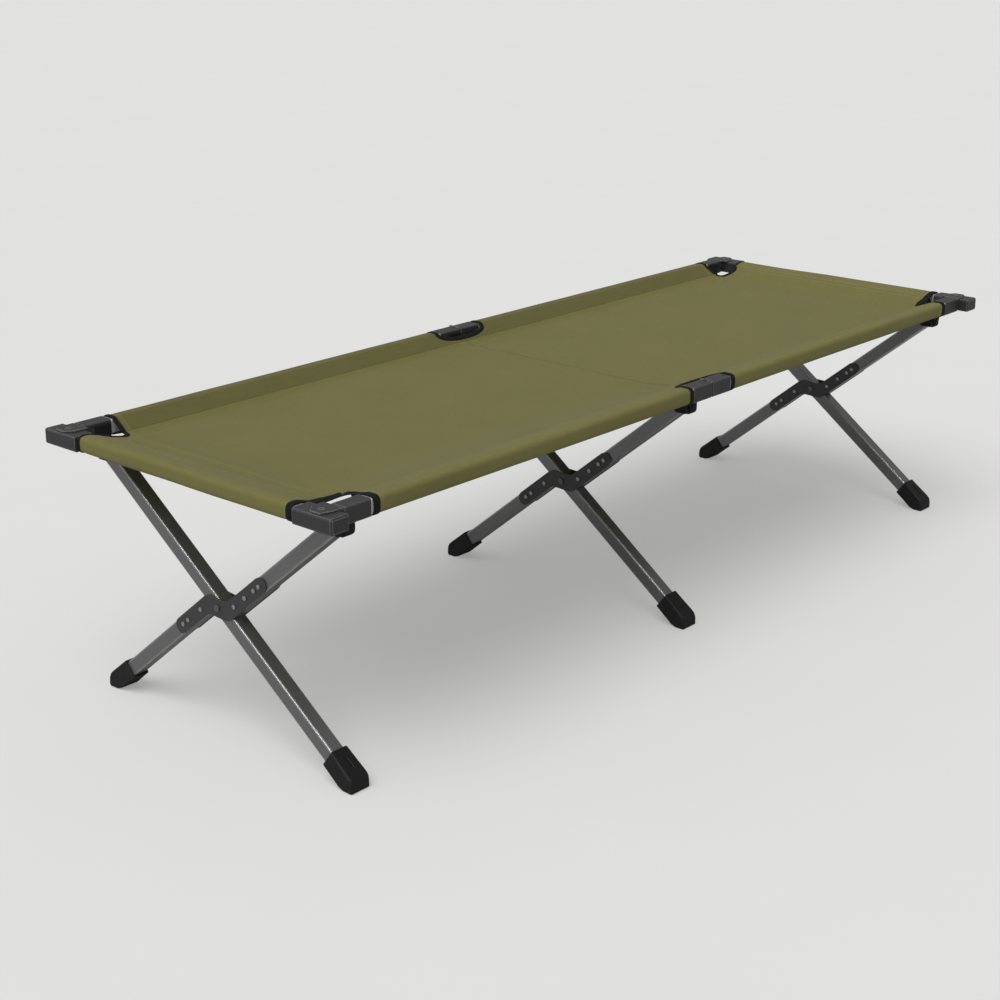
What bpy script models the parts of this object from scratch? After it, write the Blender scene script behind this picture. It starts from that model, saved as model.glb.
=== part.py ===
"""Folding camp bed: canvas on two folding side rails and two lift-off end bars, on three crossed-leg stands.

Metres. X runs along the bed, from the near end at -X to the far end at +X. Y runs across it, from the front
rail at -Y to the back rail at +Y. Z is up, and the feet stand on Z = 0.

Each stand is a scissor. Its continuous leg runs from the back rail down to the front foot. Its split leg runs
from the front rail down to the back foot in two halves, which two S-shaped plates carry past the continuous leg,
so that the scissor can close until its legs are almost parallel. A leg top turns on a pin along X, in a swivel
that turns on a pin along Y, so that a closed stand can also lie down along the rail.
"""

import math

import bmesh
import bpy
from mathutils import Matrix, Vector

# Clearances
GAP = 0.0003           # between pieces that touch
PIN_PLAY = 0.0001      # radial, where a piece turns on a pin

# Whole bed
LENGTH = 1.900         # over the end caps
WIDTH = 0.680          # over the end caps
RAIL_INSET = 0.034     # a side rail's middle, inward from the caps' outer faces
RAIL_TOP = 0.4715      # top of the side rail's tube

# Square tubes
RAIL_SIZE = 0.025
BAR_SIZE = 0.022
LEG_SIZE = 0.026
TUBE_WALL = 0.0015
TUBE_ROUND = 0.0025

# Black sleeves on the rails
SLEEVE_WALL = 0.0017
SLEEVE_ROUND = 0.0032
HINGE_LENGTH = 0.055   # of one half of a mid hinge
WEB = 0.0032           # closed end of a sleeve
HINGE_BEVEL = 0.0029   # length of the bevel round the ends that butt
HINGE_BEVEL_IN = 0.0028 # depth of that bevel
HINGE_LIP = 0.0008     # the same on the top, under the knuckles
KNUCKLE_R = 0.0022
HINGE_PIN_R = 0.0012
KNUCKLE_MID = 0.0052   # half length of the middle knuckle
KNUCKLE_END = 0.0125   # outer end of the outer knuckles
END_BOX = 0.052        # length of the end fitting's box on the rail
NECK = 0.009           # bare neck between the box and the end bar's cap

# End bar's cap, and the tongue of the rail's end fitting that lies on it
CAP_X = 0.037
CAP_Y = 0.082
CAP_WALL = 0.002
CAP_BEVEL = 0.003
TONGUE_T = 0.0027
TONGUE_IN = 0.0265     # tongue's inner edge, from the rail's middle
TONGUE_OUT = 0.0135    # tongue's outer edge, from the rail's middle
TONGUE_TIP = 0.003     # tip of the tongue, from the cap's outer face
TONGUE_CUT_IN = (0.016, 0.0125)    # corner cut off at the tongue's inner edge: along the bed, across it
TONGUE_CUT_OUT = (0.022, 0.0065)   # the same at its outer edge
TONGUE_SLOT = 0.0030   # groove between the tongue and the box
TONGUE_EDGE = 0.0008   # bevel round the tongue's top
RING_R = 0.0050        # ring groove in the tongue's top, round the peg
RING_WIDE = 0.0014
RING_DEEP = 0.0006
PEG_R = 0.004
PEG_DROP = 0.0075
PEG_INSET = 0.006      # peg's middle, inward from the rail's middle
NECK_INSET = 0.002

# Stands
STAND_NEAR_IN = 0.080   # near stand, from the near end
STAND_MID = -0.016
STAND_FAR_IN = 0.0785  # far stand, from the far end
PIVOT_Z = 0.225        # centre pivot of a scissor
TOP_DROP = 0.0475      # pins at the leg tops, below the rail's top
LEG_PIN_INSET = 0.038  # leg-top pin, inward from the rail's middle
PIVOT_R = 0.0035
LEG_PIN_R = 0.0035
SWING_PIN_R = 0.0035
HEAD_R = 0.0055
HEAD_T = 0.0015
PIVOT_HEAD_R = 0.0056
PIVOT_HEAD_T = 0.002

# Split leg and its plates, measured from the pivot along the leg
SPLIT_SHIFT = 0.016    # each half's middle line, off the pivot
HALF_OUTER = 0.0245    # inner end of a half, on its outer side
HALF_INNER = 0.045     # inner end of a half, on the continuous leg's side
PLATE_HALF = 0.0135
PLATE_LOW = 0.122
PLATE_HIGH = 0.136
RIVET_R = 0.0025
BEND_CONVEX = 0.016    # where an edge of the plate starts its step, on its convex side
BEND_CONCAVE = 0.034   # where it ends it
RIVET_HEAD_R = 0.0040
RIVET_HEAD_T = 0.0015
RIVETS_LOW = (-0.101, -0.084, -0.041)
RIVETS_HIGH = (0.041, 0.0755, 0.104, 0.1195)

# Leg-top brackets
LUG_T = 0.003
LUG_HALF = 0.0145
LUG_TOP = 0.006        # lug's top edge, below the sleeve's top
LUG_NOSE = 0.0095      # radius round the swing pin
LUG_FLANGE_IN = 0.009  # flange's outer edge, inward from the sleeve's outer face
SWIVEL_T = 0.003
CHEEK_T = 0.0025
CHEEK_NOSE = 0.0105
FORK_ROUND = 0.006

# Feet
BOOT_WALL = 0.0035
BOOT_LENGTH = 0.073    # collar to the point where the leg's middle line meets the floor
BOOT_FLARE = 0.020     # half width at the sole
BOOT_TAPER = 0.14      # share of that width lost at the collar
BOOT_CHAMFER = 0.0025
TOE_Z = 0.022          # height of the toe's blunt face
BOOT_SOLE = 0.004
BOOT_SLOT = (0.0042, 0.013, 0.0018)   # half width, half length and depth of the slot in its upper side
BOOT_SLOT_Y = 0.046    # middle of the slot, up the leg from the floor point

# Canvas
CLOTH = 0.0012
SEAM_INSET = 0.036     # where the sleeve's two layers meet, inward from the rail's middle
SIDE_SEAM_DROP = 0.012 # the side seams, below the rail's top
END_SEAM_DROP = 0.0045 # the end seams, below the end bar's top
CLOTH_DIP = 0.022      # the sheet's middle, below the side seams
CREASE_SIDE = 14       # how close to the side seams the sheet levels out: a higher power is closer
CREASE_END = 16
HINGE_CUT = 0.065      # half length of the cut-out at a mid hinge
CORNER_CUT = 0.115     # length of the cut-out at a corner
END_SEAM = 0.045       # seam of the end hem, from the end of the bed

# Derived sizes
RAIL_Y = WIDTH / 2 - RAIL_INSET
SEAM_Y = RAIL_Y - SEAM_INSET
TOP_Z = RAIL_TOP - TOP_DROP
TUBE_HALF = RAIL_SIZE / 2
SLEEVE_HALF = TUBE_HALF + GAP + SLEEVE_WALL
RAIL_Z = RAIL_TOP - TUBE_HALF
SLEEVE_TOP = RAIL_Z + SLEEVE_HALF
SLEEVE_BOTTOM = RAIL_Z - SLEEVE_HALF
HINGE_Z = SLEEVE_TOP + GAP
END_X = LENGTH / 2
CAP_IN_X = END_X - CAP_X
CAP_Z = BAR_SIZE + 2 * CAP_WALL
CAP_TOP = SLEEVE_TOP - TONGUE_T - GAP
BAR_X = END_X - CAP_X / 2
BAR_Z = CAP_TOP - CAP_Z / 2
CAP_IN_Y = WIDTH / 2 - CAP_Y
BOX_OUT = CAP_IN_X - NECK
BOX_IN = BOX_OUT - END_BOX
PEG_Y = RAIL_Y - PEG_INSET
LEG_PIN_Y = RAIL_Y - LEG_PIN_INSET
EAR_OUT = RAIL_Y - SLEEVE_HALF - GAP
EAR_IN = EAR_OUT - LUG_T
SWIVEL_OUT = EAR_IN - GAP
SWIVEL_IN = SWIVEL_OUT - SWIVEL_T
LEG_HALF = LEG_SIZE / 2
CHEEK_IN = LEG_HALF + GAP
CHEEK_OUT = CHEEK_IN + CHEEK_T
TOP_REACH = math.hypot(LEG_PIN_Y, TOP_Z - PIVOT_Z)
SLOPE = math.atan2(TOP_Z - PIVOT_Z, LEG_PIN_Y)
SPLIT_SLOPE = SLOPE + math.asin(SPLIT_SHIFT / TOP_REACH)
SPLIT_REACH = math.sqrt(TOP_REACH ** 2 - SPLIT_SHIFT ** 2)
STANDS = {"near": STAND_NEAR_IN - END_X, "mid": STAND_MID, "far": END_X - STAND_FAR_IN}

for old in list(bpy.data.objects):
    bpy.data.objects.remove(old, do_unlink=True)


def material(name, colour, roughness, metallic):
    made = bpy.data.materials.new(name)
    made.use_nodes = True
    shader = made.node_tree.nodes["Principled BSDF"]
    shader.inputs["Base Color"].default_value = (*colour, 1)
    shader.inputs["Roughness"].default_value = roughness
    shader.inputs["Metallic"].default_value = metallic
    return made


TUBE = material("gunmetal tube", (0.085, 0.086, 0.088), 0.38, 0.8)
PLATE = material("dark steel plate", (0.06, 0.06, 0.062), 0.42, 0.8)
PIN = material("steel", (0.2, 0.2, 0.2), 0.4, 1.0)
MOULDED = material("black moulding", (0.025, 0.025, 0.027), 0.5, 0.0)
RUBBER = material("black rubber", (0.015, 0.015, 0.015), 0.75, 0.0)
CANVAS = material("olive canvas", (0.16, 0.148, 0.06), 0.9, 0.0)


# Outlines


def arc(centre, radius, start, stop, steps):
    """Points on an arc in a plane, from one angle in degrees to another."""
    angles = [math.radians(start + (stop - start) * i / steps) for i in range(steps + 1)]
    return [(centre[0] + radius * math.cos(a), centre[1] + radius * math.sin(a)) for a in angles]


def filleted(corners, radii, steps=3):
    """A convex outline, counter-clockwise, with each corner rounded to its radius."""
    points = []
    count = len(corners)
    for i, corner in enumerate(corners):
        here = Vector(corner)
        back = (Vector(corners[i - 1]) - here).normalized()
        ahead = (Vector(corners[(i + 1) % count]) - here).normalized()
        radius = radii[i] if isinstance(radii, (list, tuple)) else radii
        if radius == 0:
            points.append(tuple(here))
            continue
        half = back.angle(ahead) / 2
        centre = here + (back + ahead).normalized() * radius / math.sin(half)
        first = here + back * radius / math.tan(half) - centre
        turn = math.pi - 2 * half
        for k in range(steps + 1):
            a = turn * k / steps
            spoke = (
                centre[0] + first[0] * math.cos(a) - first[1] * math.sin(a),
                centre[1] + first[0] * math.sin(a) + first[1] * math.cos(a),
            )
            points.append(spoke)
    return points


def rectangle(half_p, half_q, radius, centre=(0, 0), steps=2):
    p, q = centre
    corners = [
        (p - half_p, q - half_q),
        (p + half_p, q - half_q),
        (p + half_p, q + half_q),
        (p - half_p, q + half_q),
    ]
    return filleted(corners, radius, steps)


def circle(radius, centre=(0, 0), steps=16):
    return arc(centre, radius, 0, 360, steps)[:-1]


# Solids, as meshes


def to_mesh(bm, name):
    bmesh.ops.recalc_face_normals(bm, faces=bm.faces)
    mesh = bpy.data.meshes.new(name)
    bm.to_mesh(mesh)
    bm.free()
    return mesh


def along(axis, outline, level):
    """An outline's points, put in space at a level on the axis."""
    if axis == "X":
        return [(level, p, q) for p, q in outline]
    if axis == "Y":
        return [(p, level, q) for p, q in outline]
    return [(p, q, level) for p, q in outline]


def loft(sections, name="loft"):
    """A solid through sections that have the same number of points."""
    bm = bmesh.new()
    rings = [[bm.verts.new(p) for p in section] for section in sections]
    count = len(rings[0])
    for low, high in zip(rings, rings[1:]):
        for i in range(count):
            j = (i + 1) % count
            bm.faces.new((low[i], low[j], high[j], high[i]))
    bm.faces.new(rings[0])
    bm.faces.new(rings[-1])
    return to_mesh(bm, name)


def prism(axis, outline, low, high, name="prism"):
    return loft([along(axis, outline, low), along(axis, outline, high)], name)


def tube(axis, size, low, high, centre=(0, 0), name="tube"):
    """A hollow square tube."""
    bm = bmesh.new()
    outer = rectangle(size / 2, size / 2, TUBE_ROUND, centre)
    inside = size / 2 - TUBE_WALL
    inner = rectangle(inside, inside, TUBE_ROUND - TUBE_WALL, centre)
    rings = []
    for outline in (outer, inner):
        rings.append([[bm.verts.new(p) for p in along(axis, outline, level)] for level in (low, high)])
    count = len(outer)
    for i in range(count):
        j = (i + 1) % count
        for ring in rings:
            bm.faces.new((ring[0][i], ring[0][j], ring[1][j], ring[1][i]))
        for level in (0, 1):
            bm.faces.new((rings[0][level][i], rings[0][level][j], rings[1][level][j], rings[1][level][i]))
    return to_mesh(bm, name)


def combined(base, steps, name):
    """The mesh left when each (operation, mesh) of steps is joined to the base or cut from it."""
    host = bpy.data.objects.new("work", base)
    bpy.context.scene.collection.objects.link(host)
    tools = []
    for operation, mesh in steps:
        tool = bpy.data.objects.new("tool", mesh)
        bpy.context.scene.collection.objects.link(tool)
        tools.append(tool)
        change = host.modifiers.new("change", "BOOLEAN")
        change.operation = operation
        change.object = tool
        change.solver = "EXACT"
    bpy.context.view_layer.update()
    graph = bpy.context.evaluated_depsgraph_get()
    made = bpy.data.meshes.new_from_object(host.evaluated_get(graph))
    made.name = name
    for temporary in [host] + tools:
        bpy.data.objects.remove(temporary, do_unlink=True)
    return made


def mirrored(mesh, x=1, y=1):
    """A copy of a mesh, mirrored where x or y is -1."""
    copy = mesh.copy()
    copy.transform(Matrix.Diagonal((x, y, 1, 1)))
    if x * y < 0:
        copy.flip_normals()
    return copy


# Objects


def empty(name, location, parent=None):
    made = bpy.data.objects.new(name, None)
    made.empty_display_size = 0.03
    bpy.context.scene.collection.objects.link(made)
    hang(made, location, parent)
    return made


def hang(thing, location, parent):
    """Puts a thing at a place in the world, under its parent."""
    thing.parent = parent
    origin = parent["place"] if parent else (0, 0, 0)
    thing.location = [location[i] - origin[i] for i in range(3)]
    thing["place"] = list(location)


def piece(name, mesh, finish, location=(0, 0, 0), parent=None, tilt=0.0, mesh_from=(0, 0, 0)):
    """A named piece. Its mesh is moved so that mesh_from, a point of the mesh, lies at its origin."""
    data = mesh.copy()
    data.transform(Matrix.Translation([-v for v in mesh_from]))
    data.name = name
    data.materials.clear()
    data.materials.append(finish)
    data.shade_smooth()
    data.set_sharp_from_angle(angle=math.radians(25))
    made = bpy.data.objects.new(name, data)
    bpy.context.scene.collection.objects.link(made)
    hang(made, location, parent)
    made.rotation_euler = (tilt, 0, 0)
    return made


SIDES = {"front": -1, "back": 1}
ENDS = {"near": -1, "far": 1}

# Joint axes. The far half of the bed folds up about the mid hinges' pins.
FOLD = empty("axis_fold", (0, 0, HINGE_Z))
HALF_OF = {"near": None, "far": FOLD}


def on_half(name, mesh, finish, end):
    """A piece that is modelled in place and belongs to the near or the far half of the bed."""
    origin = (0, 0, HINGE_Z) if end == "far" else (0, 0, 0)
    return piece(name, mesh, finish, origin, HALF_OF[end], mesh_from=origin)


# Side rails: a tube from the mid hinge's sleeve to the end fitting's box

rail = tube("X", RAIL_SIZE, WEB + 2 * GAP, BOX_OUT - WEB - GAP, (RAIL_Y, RAIL_Z))
for side, y in SIDES.items():
    for end, x in ENDS.items():
        on_half(f"rail_{side}_{end}", mirrored(rail, x, y), TUBE, end)

# Mid hinges: two sleeves that butt, with knuckles on a pin just above their tops

sleeve_outline = rectangle(SLEEVE_HALF, SLEEVE_HALF, SLEEVE_ROUND, (RAIL_Y, RAIL_Z), 3)
bore_half = TUBE_HALF + GAP
sleeve_bore = rectangle(bore_half, bore_half, TUBE_ROUND, (RAIL_Y, RAIL_Z))
butt_half = SLEEVE_HALF - HINGE_BEVEL_IN
butt_high = (butt_half + SLEEVE_HALF - HINGE_LIP) / 2
butt_outline = rectangle(butt_half, butt_high, SLEEVE_ROUND - HINGE_BEVEL_IN, (RAIL_Y, RAIL_Z - butt_half + butt_high), 3)


def knuckle(low, high, radius):
    return prism("Y", circle(radius, (0, HINGE_Z)), RAIL_Y + low, RAIL_Y + high)


def hinge_half(spans, others):
    """One half of a hinge, in the first octant: its own knuckles, and hollows round the other half's."""
    body = loft([
        along("X", butt_outline, GAP),
        along("X", sleeve_outline, GAP + HINGE_BEVEL),
        along("X", sleeve_outline, HINGE_LENGTH),
    ])
    steps = [("DIFFERENCE", prism("X", sleeve_bore, WEB + GAP, HINGE_LENGTH + 0.01))]
    for low, high in others:
        steps.append(("DIFFERENCE", knuckle(low - GAP, high + GAP, KNUCKLE_R + GAP)))
    for low, high in spans:
        steps.append(("UNION", knuckle(low, high, KNUCKLE_R)))
    bore = prism("Y", circle(HINGE_PIN_R + PIN_PLAY, (0, HINGE_Z)), RAIL_Y - 0.03, RAIL_Y + 0.03)
    steps.append(("DIFFERENCE", bore))
    return combined(body, steps, "hinge half")


middle_knuckle = [(-KNUCKLE_MID, KNUCKLE_MID)]
outer_start = KNUCKLE_MID + GAP
outer_knuckles = [(-KNUCKLE_END, -outer_start), (outer_start, KNUCKLE_END)]
hinge_shapes = {
    "near": hinge_half(outer_knuckles, middle_knuckle),
    "far": hinge_half(middle_knuckle, outer_knuckles),
}
hinge_pin = knuckle(-KNUCKLE_END, KNUCKLE_END, HINGE_PIN_R)
for side, y in SIDES.items():
    for end, x in ENDS.items():
        on_half(f"hinge_{side}_{end}", mirrored(hinge_shapes[end], x, y), MOULDED, end)
    piece(f"hinge_pin_{side}", mirrored(hinge_pin, 1, y), PIN)

# Rail end fittings: a box on the rail, a neck to the end bar's cap, and a tongue with a peg that holds the cap

box = prism("X", sleeve_outline, BOX_IN, BOX_OUT)
neck_half = SLEEVE_HALF - NECK_INSET
neck = prism("X", rectangle(neck_half, neck_half, 0.002, (RAIL_Y, RAIL_Z)), BOX_OUT - 0.001, CAP_IN_X - GAP)
tip = END_X - TONGUE_TIP
start = BOX_OUT + TONGUE_SLOT
edge_in, edge_out = RAIL_Y - TONGUE_IN, RAIL_Y + TONGUE_OUT


def tongue_outline(inset):
    """The tongue's outline: straight at the box, with both corners cut off at the tip."""
    low, high = edge_in + inset, edge_out - inset
    corners = [
        (start + inset, low),
        (tip - inset - TONGUE_CUT_IN[0], low),
        (tip - inset, low + TONGUE_CUT_IN[1]),
        (tip - inset, high - TONGUE_CUT_OUT[1]),
        (tip - inset - TONGUE_CUT_OUT[0], high),
        (start + inset, high),
    ]
    return filleted(corners, [0.001, 0.004, 0.004, 0.003, 0.006, 0.001], 2)


tongue_bottom = SLEEVE_TOP - TONGUE_T
tongue = loft([
    along("Z", tongue_outline(0), tongue_bottom),
    along("Z", tongue_outline(0), SLEEVE_TOP - TONGUE_EDGE),
    along("Z", tongue_outline(TONGUE_EDGE), SLEEVE_TOP),
])
ring = combined(
    prism("Z", circle(RING_R, (BAR_X, PEG_Y)), SLEEVE_TOP - RING_DEEP, SLEEVE_TOP + 0.01),
    [("DIFFERENCE", prism("Z", circle(RING_R - RING_WIDE, (BAR_X, PEG_Y)), SLEEVE_TOP - 0.01, SLEEVE_TOP + 0.02))],
    "ring",
)
peg = prism("Z", circle(PEG_R, (BAR_X, PEG_Y)), tongue_bottom - PEG_DROP, tongue_bottom + 0.001)
end_fitting = combined(
    box,
    [
        ("UNION", neck),
        ("UNION", tongue),
        ("UNION", peg),
        ("DIFFERENCE", ring),
        ("DIFFERENCE", prism("X", sleeve_bore, BOX_IN - 0.01, BOX_OUT - WEB)),
    ],
    "end fitting",
)
for side, y in SIDES.items():
    for end, x in ENDS.items():
        on_half(f"end_fitting_{side}_{end}", mirrored(end_fitting, x, y), MOULDED, end)

# End bars, with a cap on each end. The pegs drop through the caps into the bars.

bar_reach = WIDTH / 2 - 2 * CAP_WALL - GAP
peg_hole_r = PEG_R + GAP
bar_steps = []
for y in SIDES.values():
    hole = prism("Z", circle(peg_hole_r, (BAR_X, y * PEG_Y)), BAR_Z, CAP_TOP + 0.01)
    bar_steps.append(("DIFFERENCE", hole))
bar = combined(tube("Y", BAR_SIZE, -bar_reach, bar_reach, (BAR_X, BAR_Z)), bar_steps, "end bar")

cap_outline = rectangle(CAP_X / 2, CAP_Z / 2, CAP_BEVEL, (BAR_X, BAR_Z))
cap_face = rectangle(CAP_X / 2 - CAP_BEVEL, CAP_Z / 2 - CAP_BEVEL, 0.001, (BAR_X, BAR_Z))
cap_body = loft([
    along("Y", cap_outline, CAP_IN_Y),
    along("Y", cap_outline, WIDTH / 2 - CAP_BEVEL),
    along("Y", cap_face, WIDTH / 2),
])
cap_socket = rectangle(BAR_SIZE / 2 + GAP, BAR_SIZE / 2 + GAP, TUBE_ROUND, (BAR_X, BAR_Z))
cap = combined(
    cap_body,
    [
        ("DIFFERENCE", prism("Y", cap_socket, CAP_IN_Y - 0.01, bar_reach + GAP)),
        ("DIFFERENCE", prism("Z", circle(peg_hole_r, (BAR_X, PEG_Y)), BAR_Z, CAP_TOP + 0.01)),
    ],
    "cap",
)
for end, x in ENDS.items():
    on_half(f"end_bar_{end}", mirrored(bar, x, 1), TUBE, end)
    for side, y in SIDES.items():
        on_half(f"cap_{side}_{end}", mirrored(cap, x, y), MOULDED, end)

# Leg-top lugs: an angle under each rail's sleeve, whose ear carries the swing pin. Modelled at X = 0, +Y side.

ear_top = SLEEVE_TOP - LUG_TOP
flange_top = SLEEVE_BOTTOM - GAP
ear_round = arc((0, TOP_Z), LUG_NOSE, 180, 360, 8)
ear_outline = ear_round + [(LUG_HALF, flange_top - LUG_T), (LUG_HALF, ear_top), (-LUG_HALF, ear_top)]
ear_outline = ear_outline + [(-LUG_HALF, flange_top - LUG_T)]
ear = prism("Y", ear_outline, EAR_IN, EAR_OUT)
flange_reach = RAIL_Y + SLEEVE_HALF - LUG_FLANGE_IN
flange_outline = filleted(
    [(-LUG_HALF, EAR_IN), (LUG_HALF, EAR_IN), (LUG_HALF, flange_reach), (-LUG_HALF, flange_reach)],
    [0, 0, 0.004, 0.004],
)
flange = prism("Z", flange_outline, flange_top - LUG_T, flange_top)
swing_head_in = SWIVEL_IN - GAP - HEAD_T
swing_pin = prism("Y", circle(SWING_PIN_R, (0, TOP_Z)), swing_head_in + 0.0005, EAR_OUT + 0.0005)
lug = combined(
    ear,
    [
        ("UNION", flange),
        ("UNION", swing_pin),
        ("UNION", prism("Y", circle(HEAD_R, (0, TOP_Z), 12), swing_head_in, SWIVEL_IN - GAP)),
        ("UNION", prism("Y", circle(HEAD_R, (0, TOP_Z), 12), EAR_OUT - 0.0002, EAR_OUT + HEAD_T)),
    ],
    "lug",
)

# Swivels: a fork that turns on the swing pin and holds the leg's top between its cheeks on a pin along X

fork_outline = rectangle(CHEEK_OUT, CHEEK_NOSE + 0.001, FORK_ROUND, (0, TOP_Z))
fork_plate = prism("Y", fork_outline, SWIVEL_IN, SWIVEL_OUT)
cheek_round = arc((LEG_PIN_Y, TOP_Z), CHEEK_NOSE, 90, 270, 8)
cheek_back = SWIVEL_IN + 0.0005
cheek_outline = cheek_round + [(cheek_back, TOP_Z - CHEEK_NOSE), (cheek_back, TOP_Z + CHEEK_NOSE)]
leg_pin = prism("X", circle(LEG_PIN_R, (LEG_PIN_Y, TOP_Z)), -CHEEK_OUT - 0.0005, CHEEK_OUT + 0.0005)
fork_steps = [("UNION", leg_pin)]
for x in (-1, 1):
    cheek = prism("X", cheek_outline, *sorted((x * CHEEK_IN, x * CHEEK_OUT)))
    head_span = sorted((x * (CHEEK_OUT - 0.0002), x * (CHEEK_OUT + HEAD_T)))
    head = prism("X", circle(HEAD_R, (LEG_PIN_Y, TOP_Z), 12), *head_span)
    fork_steps = [("UNION", cheek), ("UNION", head)] + fork_steps
swing_bore = prism("Y", circle(SWING_PIN_R + PIN_PLAY, (0, TOP_Z)), SWIVEL_IN - 0.01, SWIVEL_OUT + 0.01)
swivel = combined(fork_plate, fork_steps + [("DIFFERENCE", swing_bore)], "swivel")

# Legs, along their own Y axis from the pivot at the origin


def end_cutter(reach):
    """Everything past a leg's rounded top, whose centre is at reach on the leg's middle line."""
    wide = LEG_HALF + 0.002
    far = reach + LEG_HALF + 0.01
    curve = arc((reach, 0), LEG_HALF + 0.0002, -90, 90, 8)
    outline = [(reach, -wide)] + curve + [(reach, wide), (far, wide), (far, -wide)]
    return prism("X", outline, -LEG_HALF - 0.01, LEG_HALF + 0.01)


def cross_bore(y, z, radius, sides=16):
    return prism("X", circle(radius, (y, z), sides), -LEG_HALF - 0.01, LEG_HALF + 0.01)


def floor_reach(slope, shift):
    """Distance down the leg's own axis, from the pivot, to where its middle line meets the floor."""
    return (PIVOT_Z + shift * math.cos(slope)) / math.sin(slope)


def boot_end(slope):
    """How far short of the floor point the tube ends, so that the sole covers its lower corner."""
    return (BOOT_SOLE + LEG_HALF * math.cos(slope)) / math.sin(slope)


cont_foot = floor_reach(SLOPE, 0)
split_foot = floor_reach(SPLIT_SLOPE, SPLIT_SHIFT)
cont_leg = combined(
    tube("Y", LEG_SIZE, -cont_foot + boot_end(SLOPE), TOP_REACH + LEG_HALF),
    [
        ("DIFFERENCE", end_cutter(TOP_REACH)),
        ("DIFFERENCE", cross_bore(TOP_REACH, 0, LEG_PIN_R + PIN_PLAY)),
        ("DIFFERENCE", cross_bore(0, 0, PIVOT_R + PIN_PLAY)),
    ],
    "continuous leg",
)


def slant_cutter():
    """Cuts a half's inner end on a slant, so that it clears the continuous leg. The half's middle is Z = 0."""
    run = HALF_INNER - HALF_OUTER
    near_z = LEG_HALF + 0.01
    grow = run * 0.01 / LEG_SIZE
    corners = [
        (HALF_OUTER - grow, near_z),
        (HALF_OUTER - 0.05, near_z),
        (HALF_OUTER - 0.05, -near_z),
        (HALF_INNER + grow, -near_z),
    ]
    return prism("X", corners, -LEG_HALF - 0.01, LEG_HALF + 0.01)


# The upper half's middle line is at local Z = +SPLIT_SHIFT, the lower half's at -SPLIT_SHIFT. Each is modelled
# along +Y about its own middle line, with its outer side at +Z, and then put in its place.
upper_steps = [
    ("DIFFERENCE", slant_cutter()),
    ("DIFFERENCE", end_cutter(SPLIT_REACH)),
    ("DIFFERENCE", cross_bore(SPLIT_REACH, 0, LEG_PIN_R + PIN_PLAY)),
]
upper_steps += [("DIFFERENCE", cross_bore(y, 0, RIVET_R + GAP, 8)) for y in RIVETS_HIGH]
upper_half = combined(
    tube("Y", LEG_SIZE, HALF_OUTER - 0.01, SPLIT_REACH + LEG_HALF), upper_steps, "upper half leg"
)
lower_steps = [("DIFFERENCE", slant_cutter())]
lower_steps += [("DIFFERENCE", cross_bore(-y, 0, RIVET_R + GAP, 8)) for y in RIVETS_LOW]
lower_half = combined(
    tube("Y", LEG_SIZE, HALF_OUTER - 0.01, split_foot - boot_end(SPLIT_SLOPE)), lower_steps, "lower half leg"
)
upper_half.transform(Matrix.Translation((0, 0, SPLIT_SHIFT)))
lower_half.transform(Matrix.Rotation(math.pi, 4, "X"))
lower_half.transform(Matrix.Translation((0, 0, -SPLIT_SHIFT)))


# S-shaped plates, in the split leg's own frame


def step_curve(y0, z0, y1, z1, steps=8):
    """A smooth step from one level to the other, without its first point."""
    points = []
    for i in range(1, steps + 1):
        t = i / steps
        points.append((y0 + (y1 - y0) * t, z0 + (z1 - z0) * t * t * (3 - 2 * t)))
    return points


low_mid, high_mid = -SPLIT_SHIFT, SPLIT_SHIFT
plate_outline = arc((-PLATE_LOW + PLATE_HALF, low_mid), PLATE_HALF, 90, 270, 7)
plate_outline += [(-BEND_CONVEX, low_mid - PLATE_HALF)]
plate_outline += step_curve(-BEND_CONVEX, low_mid - PLATE_HALF, BEND_CONCAVE, high_mid - PLATE_HALF)
plate_outline += arc((PLATE_HIGH - PLATE_HALF, high_mid), PLATE_HALF, -90, 90, 7)
plate_outline += [(BEND_CONVEX, high_mid + PLATE_HALF)]
plate_outline += step_curve(BEND_CONVEX, high_mid + PLATE_HALF, -BEND_CONCAVE, low_mid + PLATE_HALF)
rivet_spots = [(y, low_mid) for y in RIVETS_LOW] + [(y, high_mid) for y in RIVETS_HIGH]


def plate(sign, holes_r, with_rivets):
    """A plate on one side of the stand. One of the two carries the rivets, which pass through the other."""
    body = prism("X", plate_outline, *sorted((sign * CHEEK_IN, sign * CHEEK_OUT)))
    steps = []
    for y, z in rivet_spots:
        if with_rivets:
            shank = prism("X", circle(RIVET_R, (y, z), 8), -CHEEK_OUT - 0.0005, CHEEK_OUT - 0.0005)
            steps.append(("UNION", shank))
            for spot in (-CHEEK_OUT - GAP - RIVET_HEAD_T, CHEEK_OUT - 0.0003):
                top = prism("X", circle(RIVET_HEAD_R, (y, z), 8), spot, spot + RIVET_HEAD_T)
                steps.append(("UNION", top))
        else:
            hole = prism("X", circle(RIVET_R + GAP, (y, z), 8), *sorted((sign * 0.001, sign * 0.03)))
            steps.append(("DIFFERENCE", hole))
    pivot_hole = prism("X", circle(holes_r, (0, 0), 16), *sorted((sign * 0.001, sign * 0.03)))
    steps.append(("DIFFERENCE", pivot_hole))
    return combined(body, steps, "plate")


plate_shapes = {"far": plate(1, PIVOT_R + GAP, True), "near": plate(-1, PIVOT_R + GAP, False)}

# Centre pivot: a shank with a head on each side, clear of the plates

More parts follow.
